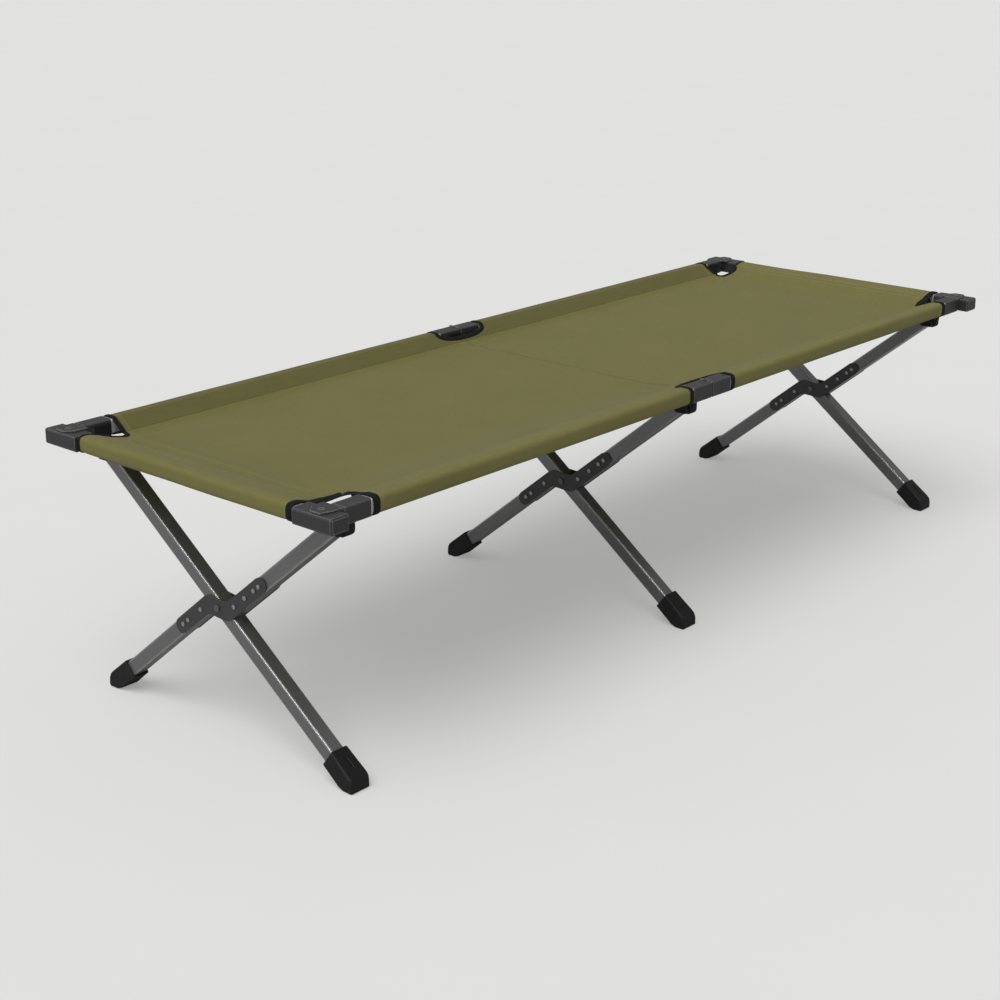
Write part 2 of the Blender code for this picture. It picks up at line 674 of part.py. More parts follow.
pivot_face = CHEEK_OUT + GAP
pivot = combined(
    prism("X", circle(PIVOT_R), -pivot_face - 0.0005, pivot_face + 0.0005),
    [
        ("UNION", prism("X", circle(PIVOT_HEAD_R), pivot_face, pivot_face + PIVOT_HEAD_T)),
        ("UNION", prism("X", circle(PIVOT_HEAD_R), -pivot_face - PIVOT_HEAD_T, -pivot_face)),
    ],
    "pivot",
)


# Feet, in the leg's own frame with the floor point at the origin and the leg going up along +Y


def boot(slope):
    """A rubber boot on a leg's lower end: a socket with a flat sole, a blunt toe and a flare toward the floor.

    Local +Y runs up the leg, and local +Z is the leg's upper side. The floor is the line Z = -Y tan(slope).
    """
    half = LEG_HALF + BOOT_WALL
    c, s = math.cos(slope), math.sin(slope)

    def at(out, up):
        """The local point that lies so far outward from the floor point and so high above the floor."""
        return (up * s - out * c, out * s + up * c)

    toe_out = (half - TOE_Z * c) / s
    toe_y = at(toe_out, TOE_Z)[0]
    heel_out = -half / s
    heel_y = at(heel_out, 0)[0]
    outline = [
        (BOOT_LENGTH, -half),
        (BOOT_LENGTH, half),
        (toe_y + 0.011, half),
        (toe_y + 0.004, half - 0.0008),
        at(toe_out - 0.0008, TOE_Z - 0.004),
        at(toe_out, TOE_Z - 0.010),
        at(toe_out, 0.0025),
        at(toe_out - 0.0025, 0),
        at(heel_out + 0.006, 0),
        (heel_y + 0.006, -half),
    ]
    flat = BOOT_FLARE - BOOT_CHAMFER
    rings = []
    for x, shrink in ((-BOOT_FLARE, BOOT_CHAMFER), (-flat, 0), (flat, 0), (BOOT_FLARE, BOOT_CHAMFER)):
        ring = []
        for y, z in outline:
            move = (Vector((BOOT_LENGTH * 0.45, 0)) - Vector((y, z))).normalized() * shrink
            narrow = 1 - BOOT_TAPER * max(0.0, (y - heel_y) / (BOOT_LENGTH - heel_y))
            ring.append((x * narrow, y + move[0], z + move[1]))
        rings.append(ring)
    socket = rectangle(LEG_HALF + GAP, LEG_HALF + GAP, TUBE_ROUND)
    depth = boot_end(slope) - GAP
    wide, long, deep = BOOT_SLOT
    slot = rectangle(wide, long, wide * 0.8, (0, BOOT_SLOT_Y), 3)
    cuts = [
        ("DIFFERENCE", prism("Y", socket, depth, BOOT_LENGTH + 0.02)),
        ("DIFFERENCE", prism("Z", slot, half - deep, half + 0.01)),
    ]
    return combined(loft(rings), cuts, "boot")


boot_shapes = {"cont": boot(SLOPE), "split": boot(SPLIT_SLOPE)}

# Stands in place. A split leg turns about its top pin, a continuous leg about the centre pivot.

LEG_TILT = SLOPE
SPLIT_TILT = math.pi - SPLIT_SLOPE
for stand, x in STANDS.items():
    base = FOLD if stand == "far" else None
    split_axis = empty(f"axis_close_{stand}", (x, -LEG_PIN_Y, TOP_Z), base)
    cont_axis = empty(f"axis_cross_{stand}", (x, 0, PIVOT_Z), split_axis)
    centre = (x, 0, PIVOT_Z)
    for side, y in SIDES.items():
        spot = (x, y * EAR_IN, TOP_Z)
        from_point = (0, y * EAR_IN, TOP_Z)
        piece(f"lug_{side}_{stand}", mirrored(lug, 1, y), PLATE, spot, base, mesh_from=from_point)
        piece(f"swivel_{side}_{stand}", mirrored(swivel, 1, y), PLATE, spot, base, mesh_from=from_point)
    piece(f"leg_{stand}", cont_leg, TUBE, centre, cont_axis, LEG_TILT)
    piece(f"half_upper_{stand}", upper_half, TUBE, centre, split_axis, SPLIT_TILT)
    piece(f"half_lower_{stand}", lower_half, TUBE, centre, split_axis, SPLIT_TILT)
    for end, shape in plate_shapes.items():
        piece(f"plate_{end}_{stand}", shape, PLATE, centre, split_axis, SPLIT_TILT)
    piece(f"pivot_{stand}", pivot, PIN, centre, split_axis)
    front_floor = (x, -cont_foot * math.cos(SLOPE), 0)
    piece(f"foot_front_{stand}", boot_shapes["cont"], RUBBER, front_floor, cont_axis, LEG_TILT)
    back_y = split_foot * math.cos(SPLIT_SLOPE) + SPLIT_SHIFT * math.sin(SPLIT_SLOPE)
    back_boot = mirrored(boot_shapes["split"], 1, 1)
    back_boot.transform(Matrix.Rotation(math.pi, 4, "Z"))
    piece(f"foot_back_{stand}", back_boot, RUBBER, (x, back_y, 0), split_axis, -SPLIT_SLOPE)


# Canvas: one cloth with a sleeve round each rail half and a hem round each end bar. It is built of small cells,
# each a block of cloth between eight shared points, and keeps only the faces that no two cells share.


def corner_share(x):
    """0 where the sheet is full width, 1 at its end seams, smooth between."""
    start = END_X - CORNER_CUT
    stop = END_X - END_SEAM
    t = min(1.0, max(0.0, (abs(x) - start) / (stop - start)))
    return t * t * (3 - 2 * t)


def edge_y(x):
    """Half width of the sheet between the sleeves. It narrows to the end hem at the corners."""
    return SEAM_Y - (SEAM_Y - (CAP_IN_Y - 0.002)) * corner_share(x)


def sheet_top(x, share):
    """Height of the cloth's upper face at a share of its half width. It slopes down from its seams to a flat middle."""
    side_seam = RAIL_TOP - SIDE_SEAM_DROP
    end_seam = BAR_Z + BAR_SIZE / 2 - END_SEAM_DROP
    seam = side_seam + (end_seam - side_seam) * corner_share(x)
    run = min(1.0, abs(x) / (END_X - END_SEAM))
    return seam - CLOTH_DIP * (1 - abs(share) ** CREASE_SIDE) * (1 - run ** CREASE_END)


def wrap_path(half, corner):
    """Points round a square tube, from its inner top corner outward and down to its inner bottom corner.

    The inner side is at -P. Each corner is cut by two points.
    """
    path = []
    for p, q in ((-1, 1), (1, 1), (1, -1), (-1, -1)):
        first = (p * half, q * (half - corner)) if p * q < 0 else (p * (half - corner), q * half)
        second = (p * (half - corner), q * half) if p * q < 0 else (p * half, q * (half - corner))
        path += [first, second]
    return path


def canvas():
    bm = bmesh.new()
    points = {}
    faces = {}

    def point(key, place):
        if key not in points:
            points[key] = bm.verts.new(place)
        return key

    def cell(keys):
        """A block of eight corners, or a wedge of six: two matching ends, each listed round its rim."""
        half = len(keys) // 2
        low, high = keys[:half], keys[half:]
        sides = [tuple(low), tuple(high)]
        for i in range(half):
            j = (i + 1) % half
            sides.append((low[i], low[j], high[j], high[i]))
        for side_keys in sides:
            faces.setdefault(frozenset(side_keys), []).append(side_keys)

    hinge_x = HINGE_CUT
    sleeve_x = END_X - CORNER_CUT
    seam_x = END_X - END_SEAM
    inner = [0.0, hinge_x, sleeve_x, (sleeve_x + seam_x) / 2, seam_x]
    inner += [sleeve_x * share for share in (0.30, 0.58, 0.85, 0.94)]
    stations = sorted({s * v for v in inner for s in (-1, 1)})
    shares = [-1, -0.94, -0.86, -0.6, 0, 0.6, 0.86, 0.94, 1]

    def sheet(i, j, layer):
        x, share = stations[i], shares[j]
        z = sheet_top(x, share) - (CLOTH if layer else 0)
        return point(("s", i, j, layer), (x, share * edge_y(x), z))

    columns = len(shares) - 1
    last = len(stations) - 1
    for i in range(last):
        for j in range(columns):
            corners = [sheet(i, j, 0), sheet(i, j + 1, 0), sheet(i, j + 1, 1), sheet(i, j, 1)]
            corners += [sheet(i + 1, j, 0), sheet(i + 1, j + 1, 0), sheet(i + 1, j + 1, 1), sheet(i + 1, j, 1)]
            cell(corners)

    inside = wrap_path(TUBE_HALF + GAP, TUBE_ROUND * 0.6)
    outside = wrap_path(TUBE_HALF + GAP + CLOTH, TUBE_ROUND * 0.6 + CLOTH * 0.6)

    def rail_ring(i, side, k, layer):
        """Cloth round the rail: k = 0 is the seam's upper end, then the path, then the seam's lower end."""
        x = stations[i]
        j = columns if side > 0 else 0
        if k in (0, len(inside) + 1):
            if layer:
                z = sheet_top(x, 1) - CLOTH / 2
                return point(("m", i, side), (x, side * (SEAM_Y + 0.004), z))
            return sheet(i, j, 0 if k == 0 else 1)
        p, q = (inside if layer else outside)[k - 1]
        return point(("r", i, side, k, layer), (x, side * (RAIL_Y + p), RAIL_Z + q))

    def bar_ring(end, j, k, layer):
        """Cloth round an end bar, in the same way."""
        i = last if end > 0 else 0
        share = shares[j]
        y = share * edge_y(stations[i])
        half = BAR_SIZE / 2 + GAP + (0 if layer else CLOTH)
        path = wrap_path(half, TUBE_ROUND * 0.6 + (0 if layer else CLOTH * 0.6))
        if k in (0, len(path) + 1):
            if layer:
                z = sheet_top(stations[i], share) - CLOTH / 2
                return point(("n", end, j), (end * (END_X - END_SEAM + 0.004), y, z))
            return sheet(i, j, 0 if k == 0 else 1)
        p, q = path[k - 1]
        return point(("b", end, j, k, layer), (end * (BAR_X + p), y, BAR_Z + q))

    turns = len(inside) + 1
    for side in (-1, 1):
        for i in range(last):
            low, high = stations[i], stations[i + 1]
            on_sleeve = min(abs(low), abs(high)) >= hinge_x - 1e-6 and max(abs(low), abs(high)) <= sleeve_x + 1e-6
            if not on_sleeve:
                continue
            for k in range(turns):
                ends = []
                for n in (i, i + 1):
                    rim = [rail_ring(n, side, k, 0), rail_ring(n, side, k + 1, 0)]
                    rim += [rail_ring(n, side, k + 1, 1), rail_ring(n, side, k, 1)]
                    ends += rim
                cell(ends)
            wedge = []
            for n in (i, i + 1):
                wedge += [rail_ring(n, side, 0, 0), rail_ring(n, side, 0, 1), rail_ring(n, side, turns, 0)]
            cell(wedge)
    for end in (-1, 1):
        for j in range(columns):
            for k in range(turns):
                ends = []
                for n in (j, j + 1):
                    rim = [bar_ring(end, n, k, 0), bar_ring(end, n, k + 1, 0)]
                    rim += [bar_ring(end, n, k + 1, 1), bar_ring(end, n, k, 1)]
                    ends += rim
                cell(ends)
            wedge = []
            for n in (j, j + 1):
                wedge += [bar_ring(end, n, 0, 0), bar_ring(end, n, 0, 1), bar_ring(end, n, turns, 0)]
            cell(wedge)

    for same in faces.values():
        if len(same) == 1:
            bm.faces.new([points[key] for key in same[0]])
    bmesh.ops.triangulate(bm, faces=bm.faces)
    return to_mesh(bm, "canvas")


piece("canvas", canvas(), CANVAS)
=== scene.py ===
# %% [markdown]
# Folding camp bed: its looks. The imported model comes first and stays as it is. It already has the right solids
# for every hard piece, so the work here is the cloth, its black edge binding, and a finish for each surface.

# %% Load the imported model
import math

import bmesh
import bpy
from mathutils import Matrix, Vector, noise


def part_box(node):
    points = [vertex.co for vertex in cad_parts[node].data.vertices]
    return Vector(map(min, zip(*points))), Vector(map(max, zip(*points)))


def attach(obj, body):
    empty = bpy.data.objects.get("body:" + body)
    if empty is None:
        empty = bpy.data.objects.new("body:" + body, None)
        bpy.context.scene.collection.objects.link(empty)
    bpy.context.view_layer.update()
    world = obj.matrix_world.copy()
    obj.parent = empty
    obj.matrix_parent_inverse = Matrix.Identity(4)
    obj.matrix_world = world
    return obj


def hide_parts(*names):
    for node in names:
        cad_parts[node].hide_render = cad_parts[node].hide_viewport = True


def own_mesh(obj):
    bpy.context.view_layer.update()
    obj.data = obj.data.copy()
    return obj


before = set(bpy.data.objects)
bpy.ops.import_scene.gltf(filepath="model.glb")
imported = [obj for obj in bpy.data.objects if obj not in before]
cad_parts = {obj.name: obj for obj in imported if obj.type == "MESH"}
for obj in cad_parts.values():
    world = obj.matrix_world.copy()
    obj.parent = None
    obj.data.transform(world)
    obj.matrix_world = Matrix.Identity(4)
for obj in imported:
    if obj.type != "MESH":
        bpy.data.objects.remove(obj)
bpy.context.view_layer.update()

# %% [markdown]
# The sizes of the tubes and fittings that the cloth goes round are read from the solids, so it can't drift away from
# them.
# Lengths are in metres. The bed lies along X, its back side is at +Y and the floor is at Z = 0.

# %% Measure the tubes that the cloth goes round
rail_low, rail_high = (Vector(corner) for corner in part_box("rail_back_far"))
RAIL_Y = (rail_low.y + rail_high.y) / 2
RAIL_Z = (rail_low.z + rail_high.z) / 2
RAIL_TOP = rail_high.z
bar_low, bar_high = (Vector(corner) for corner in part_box("end_bar_far"))
BAR_X = (bar_low.x + bar_high.x) / 2
BAR_Z = (bar_low.z + bar_high.z) / 2
BAR_TOP = bar_high.z
HINGE_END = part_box("hinge_back_far")[1][0]
BOX_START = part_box("end_fitting_back_far")[0][0]
print("rail at", round(RAIL_Y, 4), round(RAIL_Z, 4), "bar at", round(BAR_X, 4), round(BAR_Z, 4))

# %% [markdown]
# The cloth is one sheet with a pocket sewn along each side and each end. The pockets slide on the tubes. A corner is
# cut away for each fitting, and the sides are cut away at the mid hinges. Black tape is folded over the cut edges.
# These are the numbers of that pattern. The two sides and the two ends aren't quite alike in the photograph, so some
# numbers are kept by side, by end or by both. A corner's cut has four: where along the bed it starts, where it is
# deepest, the sheet's half width there, and the power of its curve, of which 0.5 is a quarter of an oval.

# %% The cloth's pattern
SIDES = {"front": -1, "back": 1}
ENDS = {"near": -1, "far": 1}
CLOTH = 0.0009  # thickness
SEAM_Y = 0.270
END_SEAM_X = 0.905
END_SEAM_Z = BAR_TOP - 0.0035
HEM_ENDS = {-1: 0.2520, 1: 0.2545}  # how far an end hem and its seam reach to each side
SLEEVE_START = HINGE_END + 0.0042
SLEEVE_END = BOX_START - 0.0052
CORNERS = {(-1, -1): (0.8430, 0.8740, 0.2446, 0.5), (-1, 1): (0.8600, 0.8840, 0.2480, 0.5),
           (1, -1): (0.8480, 0.8800, 0.2380, 0.6), (1, 1): (0.8540, 0.8850, 0.2460, 0.6)}
SLEEVE_WIDE, SLEEVE_TALL = 0.0150, 0.0146  # half the width and height of the pocket round a rail
HEM_WIDE, HEM_TALL = 0.0137, 0.0136  # the same round an end bar
TAPE_WIDE, TAPE_THICK = 0.0105, 0.0030
CORNER_TAPE = {-1: 0.0135, 1: 0.0095}
HEM_TAPE = {-1: 0.0138, 1: 0.0045}
print("sleeves from", round(SLEEVE_START, 4), "to", round(SLEEVE_END, 4))


def sign(value):
    """1 above 0, or else -1. It gives the side from a place across the bed and the end from a place along it."""
    return 1 if value > 0 else -1


def ease(t):
    """0 below 0, 1 above 1 and smooth between."""
    t = min(1.0, max(0.0, t))
    return t * t * (3 - 2 * t)


def sheet_edge(x, side):
    """Half width of the sheet at x, on one side. The cut corner starts in a curve, is narrowest and ends at the hem."""
    start, middle, width, power = CORNERS[side, sign(x)]
    t = min(1.0, max(0.0, (abs(x) - start) / (middle - start)))
    back = ease((abs(x) - middle) / (END_SEAM_X - middle + 1e-6))
    return SEAM_Y - (SEAM_Y - width) * (1 - (1 - t) ** 2) ** power + (HEM_ENDS[side] - width) * back


# %% [markdown]
# A stretched sheet isn't flat. It runs down from the rails and the end bars like the inside of a shallow tray, and
# levels out in a soft crease. Each side of the tray is a sloping plane, and a smooth maximum joins the planes: the
# logarithm of a sum of exponentials, whose softness sets how sharp the creases are. The front side slopes less, most
# of all at the near end, because the photograph shows the cloth there from the rail's top inwards. The near end slopes
# less than the far end.

# %% The tray
LEVEL = RAIL_TOP - 0.0260
SIDE_TOPS = {-1: (RAIL_TOP - 0.0050, 0.22), 1: (RAIL_TOP - 0.0190, 0.58)}  # height at the seam, and slope
FAR_FRONT = (0.0045, 0.24)  # how much lower and steeper the front side gets towards the far end
FAR_FROM, FAR_OVER = -0.4, 1.1  # where along the bed that change starts, and how long it is
END_SLOPES = {-1: 0.20, 1: 0.36}
END_DROP = 0.0003  # the ends' planes start this far under the end seams
TRAY_SOFT = 0.0022  # softness of the creases between the planes


def tray(x, y):
    """Height of the smooth sheet."""
    planes = [LEVEL, END_SEAM_Z - END_DROP - END_SLOPES[sign(x)] * (END_SEAM_X - abs(x))]
    for side, (top, slope) in SIDE_TOPS.items():
        share = ease((x - FAR_FROM) / FAR_OVER) if side < 0 else 0.0
        planes.append(top - FAR_FRONT[0] * share - (slope + FAR_FRONT[1] * share) * (SEAM_Y - side * y))
    best = max(planes)
    return best + TRAY_SOFT * math.log(sum(math.exp((plane - best) / TRAY_SOFT) for plane in planes))


print("tray's middle at", round(tray(0.0, 0.0), 4), "far end at", round(tray(END_SEAM_X, 0.0), 4))

# %% [markdown]
# On top of that come small heights: a slow unevenness, a ridge beside each end bar, the stitched fold of the end
# pocket, and pulls that fan out from the places where the cloth is held. All of it is one function of the place on
# the sheet, which moves the vertices of a plain grid. A cloth simulation would give the same gentle shape with less
# control over the creases. The third number of a noise place only picks another pattern.

# %% Height of the sheet
PULLS = [(sx * x, sy * 0.262) for sx in (-1, 1) for sy in (-1, 1) for x in (0.862, 0.050)]
PULL_HEIGHT, PULL_RAYS = 0.0020, 11  # the rays are counted over a full turn
PULL_START, PULL_FADE, PULL_REACH = 0.03, 0.060, 0.30
FOLD_HEIGHT = 0.0021
FOLD_LINES = ((0.056, 0.0032), (0.065, 0.0028))  # distance from the end seam, and width
BAR_RIDGE, BAR_RIDGE_AT, BAR_RIDGE_WIDE = 0.0015, 0.022, 0.008
HELD_SIDE, HELD_END = 0.11, 0.015  # the creases fade over this share of the half width and over this length
CROSS_SEAM, CROSS_SEAM_HALF, CROSS_SEAM_FADE = 0.0003, 0.006, 0.010
RIM = {-1: (-0.0055, 0.008), 1: (0.0010, 0.009)}  # lift of a cut corner's edge, and how far inwards it fades
PLAIN_X = 0.3  # a place along the bed that is away from hinge, corner and crease


def ridge(distance, width):
    """1 on a line, and less with the distance from it."""
    return math.exp(-((distance / width) ** 2))


def creases(x, y):
    """Small heights that a flat drawing of the cloth wouldn't have."""
    h = 0.0012 * noise.noise(Vector((x * 2.6, y * 5.0, 0.3))) + 0.0005 * noise.noise(Vector((x * 9.0, y * 7.0, 4.1)))
    end = END_SEAM_X - abs(x)
    sway = 0.004 * noise.noise(Vector((y * 6.0, x * 2, 9.0)))
    (outer, outer_wide), (inner, inner_wide) = FOLD_LINES
    fold = FOLD_HEIGHT * (ridge(end - outer - sway, outer_wide) + 0.8 * ridge(end - inner - sway, inner_wide))
    h += fold + BAR_RIDGE * ridge(end - BAR_RIDGE_AT - 2 * sway, BAR_RIDGE_WIDE)
    for px, py in PULLS:
        dx, dy = x - px, y - py
        reach = math.hypot(dx, dy)
        if reach < PULL_REACH:
            ray = math.sin(math.atan2(abs(dy), dx if px < 0 else -dx) * PULL_RAYS + 5 * px + 9 * py)
            h += PULL_HEIGHT * ease(reach / PULL_START) * math.exp(-reach / PULL_FADE) * ray
    return h


def rim(x, y):
    """The taped edge of a cut corner hangs a little at the front and is pulled up a little at the back."""
    side = sign(y)
    start = CORNERS[side, sign(x)][0]
    t = (abs(x) - start) / (END_SEAM_X - start)
    if t <= 0 or t >= 1:
        return 0.0
    lift, reach = RIM[side]
    return lift * math.sin(math.pi * t) * math.exp(-(sheet_edge(x, side) - abs(y)) / reach)


def sheet_height(x, share):
    """Height of the finished sheet at x. The share goes from -1 at the front seam to 1 at the back seam."""
    y = share * sheet_edge(x, sign(share))
    held = ease((1 - abs(share)) / HELD_SIDE) * ease((END_SEAM_X - abs(x)) / HELD_END)
    cross_seam = CROSS_SEAM * (1 - ease((abs(x) - CROSS_SEAM_HALF) / CROSS_SEAM_FADE))
    return tray(x, y) + rim(x, y) + held * (creases(x, share * SEAM_Y) + cross_seam)


def seam_height(x, side):
    """Height of the smooth sheet along one side's seam, where the pocket's flaps meet it."""
    return tray(x, side * sheet_edge(x, side))


print("middle of the sheet at", round(sheet_height(PLAIN_X, 0.0), 4))
print("side seams at", [round(seam_height(PLAIN_X, side), 4) for side in SIDES.values()])

# %% [markdown]
# One helper makes every cloth piece: it starts from Blender's grid and hands each vertex to a function that says
# where that spot of the flat cloth goes. The flat position is kept as the UV map, in metres, so that the weave and
# the stitches follow the cloth round every bend. A Solidify modifier gives it its thickness, inwards.

# %% Helper: a piece of cloth from a grid
def finish_mesh(bm, name, smooth=True):
    """Turns a bmesh into an object at the origin."""
    for face in bm.faces:
        face.smooth = smooth
    mesh = bpy.data.meshes.new(name)
    bm.to_mesh(mesh)
    bm.free()
    made = bpy.data.objects.new(name, mesh)
    bpy.context.collection.objects.link(made)
    return made


def cloth(name, along, across, place, flip=False):
    """A grid of along x across cells, bent by place(s, t), which gives a point and its flat position."""
    bm = bmesh.new()
    bmesh.ops.create_grid(bm, x_segments=along, y_segments=across, size=1)
    bm.verts.index_update()
    flat = []
    for vert in bm.verts:
        point, spot = place((vert.co.x + 1) / 2, (vert.co.y + 1) / 2)
        vert.co = point
        flat.append(spot)
    layer = bm.loops.layers.uv.new("cloth")
    for face in bm.faces:
        for loop in face.loops:
            loop[layer].uv = flat[loop.vert.index]
    if flip:
        bmesh.ops.reverse_faces(bm, faces=bm.faces)
    made = finish_mesh(bm, name)
    wall = made.modifiers.new("thickness", "SOLIDIFY")
    wall.thickness = CLOTH
    wall.offset = -1
    print(name, len(made.data.polygons), "faces")
    return made


# %% [markdown]
# The sheet is sewn from two halves that meet in a cross seam at the mid hinges, and it is made that way here too,
# because the bed folds there. Rows of vertices are closer together near the seams, where the cloth bends, and columns
# where a front corner's cut begins.

# %% The sheet's two halves
ROW_CELLS, COLUMN_CELLS = 130, 176
CORNER_COLUMNS, CORNER_SPAN = 12, 0.012


def closer_at_ends(t, power=1.6):
    """Spreads 0..1 so that steps are shorter near 0 and 1."""
    s = 2 * t - 1
    return 0.5 + 0.5 * math.copysign(1 - (1 - abs(s)) ** power, s)


COLUMNS = [END_SEAM_X * (1 - (1 - i / COLUMN_CELLS) ** 1.35) for i in range(COLUMN_CELLS + 1)]
for end in ENDS.values():
    start = CORNERS[-1, end][0]
    COLUMNS += [start + CORNER_SPAN * (i / CORNER_COLUMNS) ** 2 for i in range(CORNER_COLUMNS + 1)]
COLUMNS.sort()


def sheet_half(name, end):
    """One half of the sheet, from the cross seam to the end seam."""
    def place(s, t):
        column = round(s * (len(COLUMNS) - 1))
        x = COLUMNS[column] if end > 0 else -COLUMNS[-1 - column]
        share = 2 * closer_at_ends(t) - 1
        y = share * sheet_edge(x, sign(share))
        return (x, y, sheet_height(x, share)), (x, y)

    return cloth(name, len(COLUMNS) - 1, ROW_CELLS, place)


sheets = {name: sheet_half(f"sheet_{name}", end) for name, end in ENDS.items()}

# %% [markdown]
# A side pocket is loose enough to round off the square tube inside it. Its section is a superellipse, a square with
# soft corners, which runs on as a straight flap down to the seam, above and below. The pocket's ends are cut in a
# curve that continues the cut in the sheet.

# %% Helper: the section of a pocket
FLAP_ROWS = 22
FLAP_FROM = 0.8  # a share of the pocket's half width: the flap starts this far inwards of the tube's middle
LEAVE = {-1: 108, 1: 118}  # degrees from straight outwards at which the cloth leaves a rail
BAR_LEAVE = 112


def signed_power(value, power):
    """A power of the value's size, with the value's own sign."""
    return math.copysign(abs(value) ** power, value)


def pocket_path(wide, tall, reach, drop, steps, power, leave):
    """Points (outward, up) from the upper seam, round the tube, to the lower seam, with the length walked to each."""
    turn = []
    for i in range(steps + 1):
        a = math.radians(leave - 2 * leave * i / steps)
        turn.append((wide * signed_power(math.cos(a), 2 / power), tall * signed_power(math.sin(a), 2 / power)))

    def line(a, b):
        return [tuple(p + (q - p) * i / FLAP_ROWS for p, q in zip(a, b)) for i in range(FLAP_ROWS)]

    points = line((-reach, drop), turn[0]) + turn + list(reversed(line((-reach, drop - CLOTH), turn[-1])))
    walked = [0.0]
    for a, b in zip(points, points[1:]):
        walked.append(walked[-1] + math.dist(a, b))
    return points, walked


def flap_share(p, reach, wide):
    """0 on the tube, 1 at the seam."""
    return min(1.0, max(0.0, (-p - wide * FLAP_FROM) / (reach - wide * FLAP_FROM)))


RAIL_REACH, BAR_REACH = RAIL_Y - SEAM_Y, BAR_X - END_SEAM_X
rail_paths = {}
for side, leave in LEAVE.items():
    drop = seam_height(PLAIN_X, side) - RAIL_Z
    rail_paths[side] = pocket_path(SLEEVE_WIDE, SLEEVE_TALL, RAIL_REACH, drop, steps=44, power=3.6, leave=leave)
drop = END_SEAM_Z - BAR_Z
bar_path, bar_walk = pocket_path(HEM_WIDE, HEM_TALL, BAR_REACH, drop, steps=36, power=3.4, leave=BAR_LEAVE)

# %% [markdown]
# At a mid hinge the cut is a half oval. Its depth is a share of the flap, so that the cloth goes on behind the hinge.
# Between its ends the pocket is a little loose and swells, on the outside more than on the inside.

# %% The four side pockets
CUT_DEPTH = {-1: 0.62, 1: 0.50}
CUT_POWER = 2.4
SWELL, SWELL_INSIDE, SLEEVE_HELD = 0.05, 0.3, 0.03
FLAP_WAVE = 0.0016
SLEEVE_CELLS = 130


def cut_half(side, flap):
    """Half length of the hinge's cut-out at a place on the flap."""
    return SLEEVE_START * math.sqrt(max(0.0, 1 - (flap / CUT_DEPTH[side]) ** CUT_POWER))


def sleeve_point(side, end, s, k):
    """Point k of the pocket's section, at share s from the hinge end to the bed's end."""
    path, walk = rail_paths[side]
    p, q = path[k]
    flap = flap_share(p, RAIL_REACH, SLEEVE_WIDE)
    start = cut_half(side, flap)
    stop = SLEEVE_END + (CORNERS[side, end][0] - SLEEVE_END) * flap * flap
    x = start + (stop - start) * s
    loose = 0.5 + 0.5 * noise.noise(Vector((x * 7, walk[k] * 30, side * 3 + end)))
    held = ease(s / SLEEVE_HELD) * ease((1 - s) / SLEEVE_HELD) * (1 - ease(flap))
    swell = 1 + SWELL * held * loose * (1 if p > 0 else SWELL_INSIDE)
    z = RAIL_Z + min(q * swell, SLEEVE_TALL)
    if flap > 0:
        z += (seam_height(end * x, side) - seam_height(PLAIN_X, side)) * flap
        z += FLAP_WAVE * flap * (1 - flap) * noise.noise(Vector((x * 22, flap * 2, side * 7.7)))
    return Vector((end * x, side * (RAIL_Y + p * swell), z))


def sleeve(name, side, end):
    """One side pocket, with a row of vertices for each point of its section."""
    path, walk = rail_paths[side]
    last = len(path) - 1

    def place(s, t):
        k = round(t * last)
        point = sleeve_point(side, end, closer_at_ends(s, 1.3), k)
        return point, (point.x, side * (SEAM_Y + walk[k]))

    return cloth(name, SLEEVE_CELLS, last, place, flip=side * end < 0)


sleeves = {(a, b): sleeve(f"sleeve_{a}_{b}", SIDES[a], ENDS[b]) for a in SIDES for b in ENDS}

# %% [markdown]
# The end hems go round the end bars in the same way, turned by a quarter. Lengthwise ripples in the hem are what a
# stretched pocket shows where the bar pulls it outwards.

# %% The two end hems
HEM_RIPPLE, HEM_SAG, HEM_HELD = 0.0016, 0.0008, 0.06
HEM_CELLS = 90


def hem_point(end, t, k):
    """Point k of the hem's section, at share t from its front end to its back end."""
    p, q = bar_path[k]
    y = HEM_ENDS[-1] * (t - 1) + HEM_ENDS[1] * t
    flap = ease(flap_share(p, BAR_REACH, HEM_WIDE))
    held = ease(t / HEM_HELD) * ease((1 - t) / HEM_HELD) * (1 - flap)
    ripple = HEM_RIPPLE * noise.noise(Vector((y * 6, bar_walk[k] * 45, end * 2.0))) * held
    out = math.hypot(p, q) or 1
    z = BAR_Z + min(q + ripple * q / out - HEM_SAG * held * (q < 0), HEM_TALL)
    return Vector((end * (BAR_X + p + ripple * p / out), y, z))


def hem(name, end):
    """One end hem, with a row of vertices for each point of its section."""
    last = len(bar_path) - 1

    def place(s, t):
        k = round(s * last)
        point = hem_point(end, t, k)
        return point, (end * (END_SEAM_X + bar_walk[k]), point.y)

    return cloth(name, last, HEM_CELLS, place, flip=end < 0)


hems = {name: hem(f"hem_{name}", end) for name, end in ENDS.items()}

# %% [markdown]
# The binding is a tape folded over the raw edge. A flattened ring is drawn at the first station of the edge, then
# extruded from station to station. Each step moves the new ring by the change from one station's frame to the next,
# so the ring never twists against the cloth.

# %% Helper: tape along an edge
TAPE_OVER = 0.001  # how far the tape stands over the edge
RING_POINTS, RING_POWER = 12, 0.7  # a power below 1 squares the ring off
RING_DEPTH = 0.01  # the ring is flat, so the length of its third axis is free

bindings = {}


def frame_at(point, inward, along, wide):
    """The matrix that lays the ring over the edge at a point."""
    inward = inward.normalized()
    along = (along - inward * along.dot(inward)).normalized()
    out = along.cross(inward)
    centre = point + inward * (wide / 2 - TAPE_OVER)
    turn = Matrix((inward * wide / 2, out * TAPE_THICK / 2, along * RING_DEPTH)).transposed().to_4x4()
    return Matrix.Translation(centre) @ turn


